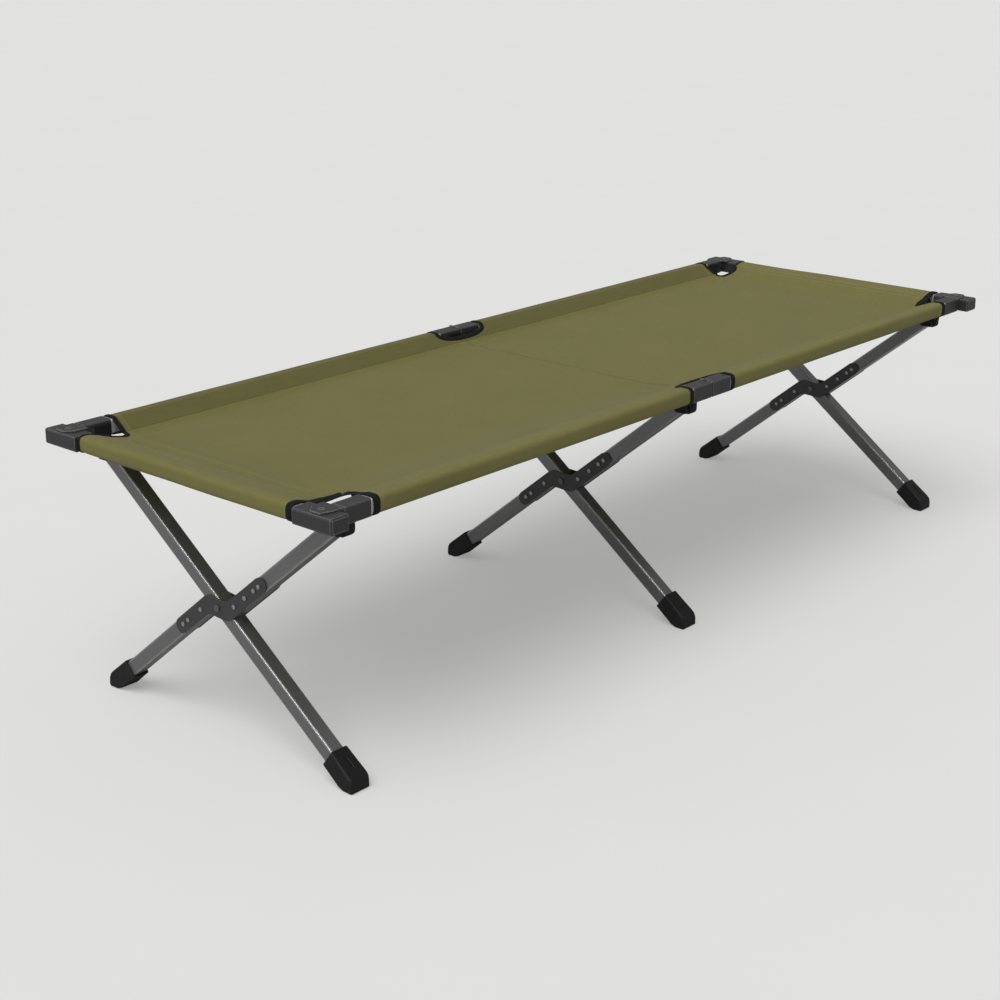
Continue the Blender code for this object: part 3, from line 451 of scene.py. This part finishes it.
def tape(name, stations, wide):
    """A tape along stations, which are (point, inward) pairs along the edge."""
    frames = []
    for i, (point, inward) in enumerate(stations):
        before = stations[max(0, i - 1)][0]
        after = stations[min(len(stations) - 1, i + 1)][0]
        frames.append(frame_at(point, inward, after - before, wide))
    bm = bmesh.new()
    ring = bmesh.ops.create_circle(bm, segments=RING_POINTS, radius=1, cap_ends=False)["verts"]
    for vert in ring:
        vert.co.x = signed_power(vert.co.x, RING_POWER)
        vert.co.y = signed_power(vert.co.y, RING_POWER)
    bmesh.ops.transform(bm, matrix=frames[0], verts=bm.verts)
    edges = bm.edges[:]
    for now, then in zip(frames, frames[1:]):
        new = bmesh.ops.extrude_edge_only(bm, edges=edges)["geom"]
        verts = {g for g in new if isinstance(g, bmesh.types.BMVert)}
        edges = [g for g in new if isinstance(g, bmesh.types.BMEdge) and verts.issuperset(g.verts)]
        bmesh.ops.transform(bm, matrix=then @ now.inverted(), verts=list(verts))
    bmesh.ops.holes_fill(bm, edges=bm.edges, sides=0)
    bmesh.ops.recalc_face_normals(bm, faces=bm.faces)
    return finish_mesh(bm, name)


def bind(a, b, where, stations, wide, kind):
    """Makes a tape for side a and end b. Its kind says what carries it: a side pocket, or the sheet with its hem."""
    name = f"binding_{a}_{b}_{where}"
    bindings[name] = (tape(name, stations, wide), kind, a, b)


# %% [markdown]
# A side pocket has tape at both of its ends. At the corner it follows the end of the cloth, point by point. At the
# hinge it follows the half oval on one flap, goes round the tube and comes back on the other flap's half oval.

# %% The tape round each pocket's ends
OVAL_STEPS = 14
INSIDE = 0.98  # a share of the pocket's length: a place beside its end, which shows the way into the cloth


def oval_stations(side, end):
    """Stations along the hinge's cut-out: down one flap along its half oval, round the tube and along the other."""
    path = rail_paths[side][0]
    last = len(path) - 1
    flap_end = max(k for k in range(FLAP_ROWS + 1) if flap_share(path[k][0], RAIL_REACH, SLEEVE_WIDE) > 0.02)
    stations = []
    for layer in (0, 1):
        run = []
        seam, tube = (0, flap_end) if layer == 0 else (last, last - flap_end)
        low, high = (sleeve_point(side, end, 0.0, k) for k in (seam, tube))
        down = Vector((0, low.y - high.y, low.z - high.z))
        for i in range(OVAL_STEPS + 1):
            angle = math.radians(90 * i / OVAL_STEPS)
            flap = CUT_DEPTH[side] * math.cos(angle) ** (2 / CUT_POWER)
            x = SLEEVE_START * math.sin(angle) ** 0.9
            point = Vector((end * x, high.y + down.y * flap, high.z + down.z * flap))
            point.z += (seam_height(end * x, side) - seam_height(0, side)) * flap
            inward = Vector((end, 0, 0)) * math.sin(angle) + down.normalized() * math.cos(angle)
            run.append((point, inward))
        if layer == 0:
            stations += run
            for k in range(flap_end + 1, last - flap_end):
                stations.append((sleeve_point(side, end, 0.0, k), Vector((end, 0, 0))))
        else:
            stations += reversed(run)
    return stations


for a, side in SIDES.items():
    for b, end in ENDS.items():
        bind(a, b, "mid", oval_stations(side, end), TAPE_WIDE, "sleeve")
        stations = []
        for k in range(len(rail_paths[side][0])):
            here = sleeve_point(side, end, 1.0, k)
            stations.append((here, sleeve_point(side, end, INSIDE, k) - here))
        bind(a, b, "corner", stations, CORNER_TAPE[side], "sleeve")
print("pocket bindings", len(bindings))

# %% [markdown]
# The tape in a corner follows the sheet's own cut, from the side seam to the end seam. Its stations are closer
# together at the start, where the cut turns sharply. One more tape goes round each end of a hem.

# %% The tape along the cuts in the sheet, and round the hems' ends
INSET, STEP = 0.008, 0.0006
CUT_STEPS, CUT_SPREAD = 22, 1.7
CUT_STOP = 0.0007  # how far before the end seam the tape stops


def edge_station(x, side, end):
    """A place on the cut edge of the sheet, with the direction square to the edge into the cloth."""
    width = sheet_edge(end * x, side)
    change = sheet_edge(end * (x + STEP), side) - sheet_edge(end * (x - STEP), side)
    run = Vector((2 * STEP, change)).normalized()
    inner_x, inner_y = x + INSET * run.y, width - INSET * run.x
    share = inner_y / sheet_edge(end * inner_x, side)
    point = Vector((end * x, side * width, sheet_height(end * x, side) - CLOTH / 2))
    inside = Vector((end * inner_x, side * inner_y, sheet_height(end * inner_x, side * share) - CLOTH / 2))
    return point, inside - point


for a, side in SIDES.items():
    for b, end in ENDS.items():
        first = CORNERS[side, end][0]
        length = END_SEAM_X - CUT_STOP - first
        places = [first + length * (i / CUT_STEPS) ** CUT_SPREAD for i in range(CUT_STEPS + 1)]
        bind(a, b, "corner_cut", [edge_station(x, side, end) for x in places], CORNER_TAPE[side], "sheet")
        inward = Vector((0, -side, 0))
        t = 0.0 if side < 0 else 1.0
        stations = [(hem_point(end, t, k), inward) for k in range(len(bar_path))]
        bind(a, b, "hem", stations, HEM_TAPE[side], "sheet")
print("all bindings", len(bindings))

# %% [markdown]
# Now the finishes. A material is a small network of nodes. Effects that several finishes share are made once, as
# node groups with named inputs and outputs. These helpers add a node and set its plain values or links in one line.

# %% Helpers for materials
def feed(tree, node, **inputs):
    """Gives a node's inputs plain values or sockets, by name (_ for a space) or by number (i2 is the third one)."""
    for key, value in inputs.items():
        numbered = key[0] == "i" and key[1:].isdigit()
        socket = node.inputs[int(key[1:]) if numbered else key.replace("_", " ")]
        if isinstance(value, bpy.types.NodeSocket):
            tree.links.new(value, socket)
        else:
            socket.default_value = value


def add(tree, kind, settings=None, **inputs):
    """Adds a node. settings are its properties; inputs are as for feed."""
    made = tree.nodes.new(kind)
    for key, value in (settings or {}).items():
        setattr(made, key, value)
    feed(tree, made, **inputs)
    return made


def maths(tree, operation, *values, clamp=False):
    """A Math node for those values or sockets. Gives its output socket."""
    inputs = {f"i{number}": value for number, value in enumerate(values)}
    return add(tree, "ShaderNodeMath", {"operation": operation, "use_clamp": clamp}, **inputs).outputs[0]


def vector_maths(tree, operation, first, second):
    """A Vector Math node for two vectors or sockets."""
    return add(tree, "ShaderNodeVectorMath", {"operation": operation}, i0=first, i1=second)


def blend(tree, factor, first, second):
    """A mix of two colours or sockets. Gives its output socket."""
    return add(tree, "ShaderNodeMix", {"data_type": "RGBA"}, Factor=factor, i6=first, i7=second).outputs[2]


def object_place(tree):
    """The socket with the place on the object."""
    return add(tree, "ShaderNodeTexCoord").outputs["Object"]


def group(name, inputs, outputs):
    """An empty node group with those sockets, with what comes into it and what goes out of it."""
    tree = bpy.data.node_groups.new(name, "ShaderNodeTree")
    for label, kind, value in inputs:
        socket = tree.interface.new_socket(label, in_out="INPUT", socket_type=f"NodeSocket{kind}")
        if value is not None:
            socket.default_value = value
    for label in outputs:
        tree.interface.new_socket(label, in_out="OUTPUT", socket_type="NodeSocketFloat")
    return tree, tree.nodes.new("NodeGroupInput").outputs, tree.nodes.new("NodeGroupOutput").inputs


def use(tree, shared, **inputs):
    """Puts a shared node group into a tree and gives its output sockets."""
    return add(tree, "ShaderNodeGroup", {"node_tree": shared}, **inputs).outputs


def new_material(name):
    """A new material, with its node tree and its shader."""
    material = bpy.data.materials.new(name)
    material.use_nodes = True
    return material, material.node_tree, material.node_tree.nodes["Principled BSDF"]


# %% [markdown]
# Edges: on a real part the edges are a little rounded. Blender's Bevel node gives a rounded normal without changing
# the mesh. Where it differs from the flat normal, there is an edge, and the finishes paint a highlight line there.

# %% Shared effect: edges, where a highlight is painted
edge_highlight_group, given, result = group(
    "painted_edge_highlight", [("Rounded", "Vector", None), ("Flat", "Vector", None), ("Width", "Float", 0.1)], ["Mask"])
dot = vector_maths(edge_highlight_group, "DOT_PRODUCT", given["Rounded"], given["Flat"])
away = maths(edge_highlight_group, "SUBTRACT", 1.0, dot.outputs["Value"])
edge_highlight_group.links.new(maths(edge_highlight_group, "DIVIDE", away, given["Width"], clamp=True), result["Mask"])
print(edge_highlight_group.name, len(edge_highlight_group.nodes), "nodes")

# %% [markdown]
# Grain: fine noise that makes plastic and rubber slightly uneven, and long streaks that drawing and brushing leave on
# a metal tube. Both come from one noise, which is stretched by scaling its coordinates.

# %% Shared effect: grain
BROAD_SCALE = 0.06  # of the fine noise's scale

grain_group, given, result = group(
    "grain", [("Vector", "Vector", None), ("Stretch", "Vector", (1, 1, 1)), ("Scale", "Float", 100.0)],
    ["Fine", "Broad"])
stretched = vector_maths(grain_group, "MULTIPLY", given["Vector"], given["Stretch"])
fine = add(grain_group, "ShaderNodeTexNoise", Vector=stretched.outputs[0], Scale=given["Scale"], Detail=3.0)
broad_scale = maths(grain_group, "MULTIPLY", given["Scale"], BROAD_SCALE)
broad = add(grain_group, "ShaderNodeTexNoise", Vector=given["Vector"], Scale=broad_scale, Detail=4.0)
grain_group.links.new(fine.outputs["Fac"], result["Fine"])
grain_group.links.new(broad.outputs["Fac"], result["Broad"])
print(grain_group.name, len(grain_group.nodes), "nodes")

# %% [markdown]
# Weave and stitches: both are patterns of the flat cloth, so they read the UV map. The weave is two sets of ribs that
# cross, over and under. A stitch row is a thin line, cut into dashes.

# %% Shared effects: weave and stitches
WEAVE_PITCH = 0.0011
STITCH_PITCH, STITCH_HALF, STITCH_LENGTH, GROOVE_HALF = 0.0035, 0.0005, 0.72, 0.0022

weave_group, given, result = group(
    "weave", [("Vector", "Vector", None), ("Pitch", "Float", WEAVE_PITCH)], ["Height", "Thread"])
turns = maths(weave_group, "DIVIDE", math.pi, given["Pitch"])
scaled = add(weave_group, "ShaderNodeVectorMath", {"operation": "SCALE"}, i0=given["Vector"], Scale=turns)
parts = add(weave_group, "ShaderNodeSeparateXYZ", Vector=scaled.outputs[0]).outputs
crossed = maths(weave_group, "MULTIPLY", *(maths(weave_group, "SINE", parts[axis]) for axis in (0, 1)))
weave_group.links.new(maths(weave_group, "MULTIPLY_ADD", crossed, 0.5, 0.5), result["Height"])
slub_place = vector_maths(weave_group, "MULTIPLY", given["Vector"], (40, 700, 1))
slub = add(weave_group, "ShaderNodeTexNoise", Vector=slub_place.outputs[0], Scale=1.0, Detail=2.0)
weave_group.links.new(slub.outputs["Fac"], result["Thread"])

stitch_group, given, result = group(
    "stitch_row",
    [("Across", "Float", 0.0), ("Along", "Float", 0.0), ("Row", "Float", 0.0), ("Pitch", "Float", STITCH_PITCH)],
    ["Mask", "Groove"])
size = maths(stitch_group, "ABSOLUTE", given["Across"])
gap = maths(stitch_group, "ABSOLUTE", maths(stitch_group, "SUBTRACT", size, given["Row"]))
line = maths(stitch_group, "LESS_THAN", gap, STITCH_HALF)
beat = maths(stitch_group, "FRACT", maths(stitch_group, "DIVIDE", given["Along"], given["Pitch"]))
dash = maths(stitch_group, "LESS_THAN", beat, STITCH_LENGTH)
stitch_group.links.new(maths(stitch_group, "MULTIPLY", line, dash), result["Mask"])
stitch_group.links.new(maths(stitch_group, "DIVIDE", gap, GROOVE_HALF, clamp=True), result["Groove"])
print("node groups", [g.name for g in bpy.data.node_groups])

# %% [markdown]
# Hard finishes. All of them are built the same way: grain changes colour and roughness a little, the edge mask
# paints a highlight along the edges, and the rounded normal goes to the shader with a light bump on top.

# %% Hard finishes
ROUGH_RANGE, COLOUR_RANGE = 0.1, 0.25
FINE_SHARE, BROAD_SHARE = 0.6, 0.4


def hard_finish(name, colour, edge, metallic, roughness, radius, scale, stretch=(1, 1, 1), turn=0.0, bump=0.05,
                highlight_width=0.12, specular=0.5):
    """A metal, plastic or rubber. edge is the colour of the painted highlight along the edges. The radius is the edges'
    own; scale, stretch and turn are those of the grain.
    """
    material, tree, shader = new_material(name)
    turned = add(tree, "ShaderNodeMapping", Vector=object_place(tree), Rotation=(turn, 0, 0))
    grain = use(tree, grain_group, Vector=turned.outputs[0], Stretch=stretch, Scale=scale)
    rounded = add(tree, "ShaderNodeBevel", {"samples": 4}, Radius=radius).outputs[0]
    flat = add(tree, "ShaderNodeNewGeometry").outputs["True Normal"]
    edges = use(tree, edge_highlight_group, Rounded=rounded, Flat=flat, Width=highlight_width)
    fine_part = maths(tree, "MULTIPLY_ADD", grain["Fine"], FINE_SHARE, 0.0, clamp=True)
    uneven = maths(tree, "MULTIPLY_ADD", grain["Broad"], BROAD_SHARE, fine_part, clamp=True)
    low, high = ([c * share for c in colour] + [1] for share in (1 - COLOUR_RANGE, 1 + COLOUR_RANGE))
    tone = blend(tree, uneven, low, high)
    bumped = add(tree, "ShaderNodeBump", Strength=bump, Distance=0.001, Height=grain["Fine"], Normal=rounded)
    feed(tree, shader, Base_Color=blend(tree, edges["Mask"], tone, (*edge, 1)), Normal=bumped.outputs[0],
         Roughness=maths(tree, "MULTIPLY_ADD", uneven, 2 * ROUGH_RANGE, roughness - ROUGH_RANGE),
         Metallic=metallic, Specular_IOR_Level=specular)
    return material


LEG_ENDS = 0.02  # what the leg's slanting ends add to the height of its box
leg_low, leg_high = (Vector(corner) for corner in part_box("leg_near"))
SLOPE = math.atan2(leg_high.z - leg_low.z - LEG_ENDS, leg_high.y - leg_low.y)
# The edge colours in these finishes are painted highlights along the edges.
GREY, BRIGHT = (0.190, 0.191, 0.195), (0.80, 0.80, 0.81)
brushed = dict(colour=GREY, edge=(0.95, 0.95, 0.95), metallic=0.75, roughness=0.36, radius=0.0013, scale=90,
               stretch=(14, 0.4, 14), bump=0.16, highlight_width=0.05)
bright = dict(colour=BRIGHT, edge=(0.9, 0.9, 0.9), metallic=0.35, roughness=0.34, radius=0.0010, scale=60)
finishes = {
    "leg_rising": hard_finish("brushed_tube_rising", turn=-SLOPE, **brushed),
    "leg_falling": hard_finish("brushed_tube_falling", turn=SLOPE, **brushed),
    "rail": hard_finish("bright_tube_rail", stretch=(0.5, 14, 14), **bright),
    "bar": hard_finish("bright_tube_bar", stretch=(14, 0.5, 14), **bright),
    "moulding": hard_finish("black_moulding", (0.031, 0.031, 0.033), (0.28, 0.28, 0.29), metallic=0.0, roughness=0.46,
                            radius=0.0013, scale=900, bump=0.14, highlight_width=0.10, specular=0.30),
    "rubber": hard_finish("black_rubber", (0.007, 0.007, 0.0075), (0.03, 0.03, 0.032), metallic=0.0, roughness=0.55,
                          radius=0.0016, scale=700, bump=0.15, specular=0.25),
    "plate": hard_finish("dark_plate", (0.050, 0.050, 0.053), (0.26, 0.26, 0.27), metallic=0.4, roughness=0.46,
                         radius=0.0006, scale=500, bump=0.08),
    "bracket": hard_finish("black_bracket", (0.010, 0.010, 0.0105), (0.04, 0.04, 0.042), metallic=0.0, roughness=0.60,
                           radius=0.0006, scale=500, bump=0.08, specular=0.20),
    "pin": hard_finish("steel_pin", (0.13, 0.13, 0.133), (0.4, 0.4, 0.4), metallic=0.7, roughness=0.38,
                       radius=0.0005, scale=500),
}
print("hard finishes", len(finishes))

# %% [markdown]
# The S-plates and their rivets are one solid, so the rivet heads can't be picked out as separate objects. They stand
# proud of the plate, though, so their place tells them apart: anything further from the stand's middle than the
# plate's outer face is a rivet head, and gets a lighter, more metallic finish.

# %% Plates with lighter rivet heads
PLATE_FACE = 0.0158  # from the stand's middle to a plate's outer face
HEAD_ABOVE = 0.0004
RIVET = (0.34, 0.34, 0.345, 1)
PLATE_METAL, RIVET_MORE = 0.4, 0.4


def riveted_finish(name, middle):
    """The plate's finish with lighter rivet heads, for the stand whose middle is at that place along the bed."""
    material = finishes["plate"].copy()
    material.name = name
    tree = material.node_tree
    shader = tree.nodes["Principled BSDF"]
    along = add(tree, "ShaderNodeSeparateXYZ", Vector=object_place(tree)).outputs[0]
    away = maths(tree, "ABSOLUTE", maths(tree, "SUBTRACT", along, middle))
    head = maths(tree, "GREATER_THAN", away, PLATE_FACE + HEAD_ABOVE)
    plate_colour = shader.inputs["Base Color"].links[0].from_socket
    feed(tree, shader, Base_Color=blend(tree, head, plate_colour, RIVET),
         Metallic=maths(tree, "MULTIPLY_ADD", head, RIVET_MORE, PLATE_METAL))
    return material


STANDS = {}
for stand in ("near", "mid", "far"):
    low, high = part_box(f"leg_{stand}")
    STANDS[stand] = (low[0] + high[0]) / 2
    finishes[f"plate_{stand}"] = riveted_finish(f"riveted_plate_{stand}", STANDS[stand])
print("stands at", {k: round(v, 4) for k, v in STANDS.items()})

# %% [markdown]
# The solids keep the names that the model gives them, and a name's first word says what the piece is. So each solid
# gets its finish by how its name starts. What no line of the table names is a bracket at a leg's top.

# %% Give each solid its finish
FINISH_BY_START = (
    ("leg_", "leg_rising"), ("half_", "leg_falling"), ("rail_", "rail"), ("end_bar", "bar"),
    (("hinge_pin", "pivot"), "pin"), (("hinge_", "cap_", "end_fitting"), "moulding"), ("foot_", "rubber"),
)


def finish_of(node):
    """The finish for the solid of that name. A plate has its own stand's finish."""
    if node.startswith("plate_"):
        return finishes["plate_" + node.rsplit("_", 1)[1]]
    for start, finish in FINISH_BY_START:
        if node.startswith(start):
            return finishes[finish]
    return finishes["bracket"]


for node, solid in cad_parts.items():
    if node != "canvas":
        for slot in solid.material_slots:
            slot.material = finish_of(node)
print("finished solids", len(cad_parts) - 1)

# %% [markdown]
# The canvas is dyed cotton and polyester in olive. Its colour is a little uneven, in soft clouds and in thin slubs
# along the threads. The bump has the weave and the grooves of the stitch rows.

# %% Canvas
OLIVES = ((0.134, 0.124, 0.041), (0.168, 0.155, 0.052))
THREAD = (0.23, 0.215, 0.105, 1)
WEAVE_DEPTH, GROOVE_DEPTH = 0.00012, 0.0004


def canvas_finish(name, rows, painted_light_scale=1.0):
    """rows are (axis, distance from the middle) of the stitch rows, in metres on the flat cloth. The last argument
    scales the colour lighter or darker, as painted light or shade.
    """
    material, tree, shader = new_material(name)
    flat = add(tree, "ShaderNodeUVMap", {"uv_map": "cloth"}).outputs[0]
    weave = use(tree, weave_group, Vector=flat, Pitch=WEAVE_PITCH)
    clouds = add(tree, "ShaderNodeTexNoise", Vector=flat, Scale=7.0, Detail=5.0, Roughness=0.6)
    dark, light = ([c * painted_light_scale for c in olive] + [1] for olive in OLIVES)
    base = blend(tree, clouds.outputs["Fac"], dark, light)
    threads = maths(tree, "MULTIPLY_ADD", weave["Thread"], 0.36, 0.82)
    # Painted light and shade: the weave's low spots are made up to 8% darker and its high spots up to 8% lighter.
    painted_weave_light_and_shade = maths(tree, "MULTIPLY_ADD", weave["Height"], 0.16, 0.92)
    slubs_and_painted_shading = maths(tree, "MULTIPLY", threads, painted_weave_light_and_shade)
    colour = add(tree, "ShaderNodeVectorMath", {"operation": "SCALE"}, i0=base, Scale=slubs_and_painted_shading).outputs[0]
    height = maths(tree, "MULTIPLY", weave["Height"], WEAVE_DEPTH)
    parts = add(tree, "ShaderNodeSeparateXYZ", Vector=flat).outputs
    for axis, row in rows:
        stitch = use(tree, stitch_group, Across=parts[axis], Along=parts[1 - axis], Row=row)
        colour = blend(tree, stitch["Mask"], colour, THREAD)
        height = maths(tree, "MULTIPLY_ADD", stitch["Groove"], GROOVE_DEPTH, height)
    bumped = add(tree, "ShaderNodeBump", Strength=0.7, Distance=1.0, Height=height)
    feed(tree, shader, Base_Color=colour, Normal=bumped.outputs[0], Roughness=0.88, Specular_IOR_Level=0.15,
         Sheen_Weight=0.06, Sheen_Roughness=0.5)
    return material


POCKET_ROWS = [(0, SLEEVE_END - 0.0145), (0, SLEEVE_END - 0.0185)]
HEM_ROWS = [(0, END_SEAM_X + 0.004), (1, HEM_ENDS[-1] - 0.0150)]
# Painted light and shade: the front pockets are made 6% lighter and the back pockets 20% darker than the sheet, and the
# hem 4% lighter.
POCKET_PAINTED_LIGHT_AND_SHADE = {"front": 1.06, "back": 0.80}
sheet_canvas = canvas_finish("olive_canvas_sheet", [(0, END_SEAM_X - 0.006)])
pocket_canvas_painted_light_and_shade = {a: canvas_finish(f"olive_canvas_pocket_{a}", POCKET_ROWS, painted_light_scale) for a, painted_light_scale in POCKET_PAINTED_LIGHT_AND_SHADE.items()}
hem_canvas_painted_light = canvas_finish("olive_canvas_hem_painted_light", HEM_ROWS, 1.04)
print("canvas finishes", 2 + len(pocket_canvas_painted_light_and_shade))

# %% [markdown]
# The tape is woven too, but so dark that its ribs only show as a slight unevenness. One fine noise mixes two blacks
# and gives the bump, which is enough at this distance. Then every cloth piece and tape gets its finish.

# %% Tape, and the finishes of all soft pieces
tape_material, tree, shader = new_material("black_tape")
ribs = use(tree, grain_group, Vector=object_place(tree), Scale=1400.0)
bumped = add(tree, "ShaderNodeBump", Strength=0.4, Distance=0.0005, Height=ribs["Fine"])
feed(tree, shader, Base_Color=blend(tree, ribs["Fine"], (0.003, 0.003, 0.003, 1), (0.011, 0.011, 0.011, 1)),
     Normal=bumped.outputs[0], Roughness=0.7, Specular_IOR_Level=0.15)

for made in sheets.values():
    made.data.materials.append(sheet_canvas)
for (a, b), made in sleeves.items():
    made.data.materials.append(pocket_canvas_painted_light_and_shade[a])
for made in hems.values():
    made.data.materials.append(hem_canvas_painted_light)
for made, *_ in bindings.values():
    made.data.materials.append(tape_material)
print("materials", len(bpy.data.materials))

# %% [markdown]
# Each piece rides on the body that carries it. The pockets go with their own rail. The sheet, the hems and the tape
# on the sheet hang between two rails that come together as the legs close; here they ride on the front rail's half at
# their end.

# %% What each piece rides on
BODY = {("front", "near"): "front_a", ("front", "far"): "front_b",
        ("back", "near"): "back_a", ("back", "far"): "back_b"}


def slack(made, end):
    """Lets a piece ride on the front rail's half at that end, with a mesh of its own."""
    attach(made, BODY["front", end])
    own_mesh(made)


for name in ENDS:
    slack(sheets[name], name)
    slack(hems[name], name)
for where, made in sleeves.items():
    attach(made, BODY[where])
for made, kind, a, b in bindings.values():
    if kind == "sheet":
        slack(made, b)
    else:
        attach(made, BODY[a, b])
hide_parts("canvas")
print("riding pieces", len(sheets) + len(hems) + len(sleeves) + len(bindings))

# %% [markdown]

# %% [markdown]
# The stage: a wide pale floor that fills the view, a pale sky that is brighter on the left, and one very soft sun,
# high and a little to the left, which makes the pool of shadow under the bed. The camera sees the floor with a little
# light of its own, like a lit studio table, so the pool of shadow stays pale.

# %% Floor
FLOOR_GLOW = 0.275

bm = bmesh.new()
bmesh.ops.create_circle(bm, segments=96, radius=60, cap_ends=True)
floor = finish_mesh(bm, "floor", smooth=False)
floor_material, tree, shader = new_material("pale_floor")
faint = use(tree, grain_group, Vector=object_place(tree), Scale=60.0)
seen = add(tree, "ShaderNodeLightPath").outputs["Is Camera Ray"]
feed(tree, shader, Base_Color=blend(tree, faint["Broad"], (0.465, 0.465, 0.462, 1), (0.485, 0.485, 0.482, 1)),
     Roughness=0.9, Specular_IOR_Level=0.1, Emission_Color=(1, 1, 0.995, 1),
     Emission_Strength=maths(tree, "MULTIPLY", seen, FLOOR_GLOW))
floor.data.materials.append(floor_material)
print("floor", len(floor.data.polygons), "face")

# %% [markdown]
# The sky has two strengths. The camera sees one plain tone, like a studio's wall. The light that falls on the bed is
# plain on the right and grows towards the left, so that the two sides of a tube differ.

# %% Sky and sun
SKY_SEEN, SKY_RIGHT, SKY_LEFT_MORE = 0.735, 0.40, 0.50

world = bpy.data.worlds.new("studio")
bpy.context.scene.world = world
world.use_nodes = True
tree = world.node_tree
rays = add(tree, "ShaderNodeLightPath").outputs
seen = maths(tree, "MAXIMUM", rays["Is Camera Ray"], rays["Is Transmission Ray"])
direction = add(tree, "ShaderNodeSeparateXYZ", Vector=add(tree, "ShaderNodeTexCoord").outputs["Generated"])
left = maths(tree, "MULTIPLY", direction.outputs[0], -1.0, clamp=True)
light = maths(tree, "MULTIPLY_ADD", left, SKY_LEFT_MORE, SKY_RIGHT)
level = add(tree, "ShaderNodeMix", {"data_type": "FLOAT"}, Factor=seen, i2=light, i3=SKY_SEEN)
feed(tree, tree.nodes["Background"], Strength=level.outputs[0], Color=(1, 1, 0.99, 1))

sun = bpy.data.lights.new("soft_sun", "SUN")
sun.energy = 1.80
sun.angle = math.radians(48)
sun_object = bpy.data.objects.new("soft_sun", sun)
bpy.context.collection.objects.link(sun_object)
sun_object.rotation_euler = Vector((-0.52, -0.16, 1.0)).to_track_quat("Z", "Y").to_euler()
print("sun", round(sun.energy, 2), "as wide as", round(math.degrees(sun.angle)), "degrees")

# %% [markdown]
# The camera stands where the photograph was taken from: its place, turn and lens come from matching about twenty
# points of the bed to the picture. The focal length was found in pixels of a picture 1000 pixels wide.

# %% Camera
FOCAL, PICTURE = 1799.4, 1000

camera = bpy.data.cameras.new("camera")
camera.sensor_width = 36
camera.lens = FOCAL * camera.sensor_width / PICTURE
camera_object = bpy.data.objects.new("camera", camera)
bpy.context.collection.objects.link(camera_object)
camera_object.location = (-2.5682, -2.0866, 1.3150)
camera_object.rotation_euler = (math.radians(90 - 18.974), 0, math.radians(-48.506))
bpy.context.scene.camera = camera_object
bpy.context.scene.view_settings.view_transform = "Standard"
print("lens", round(camera.lens, 2), "mm")
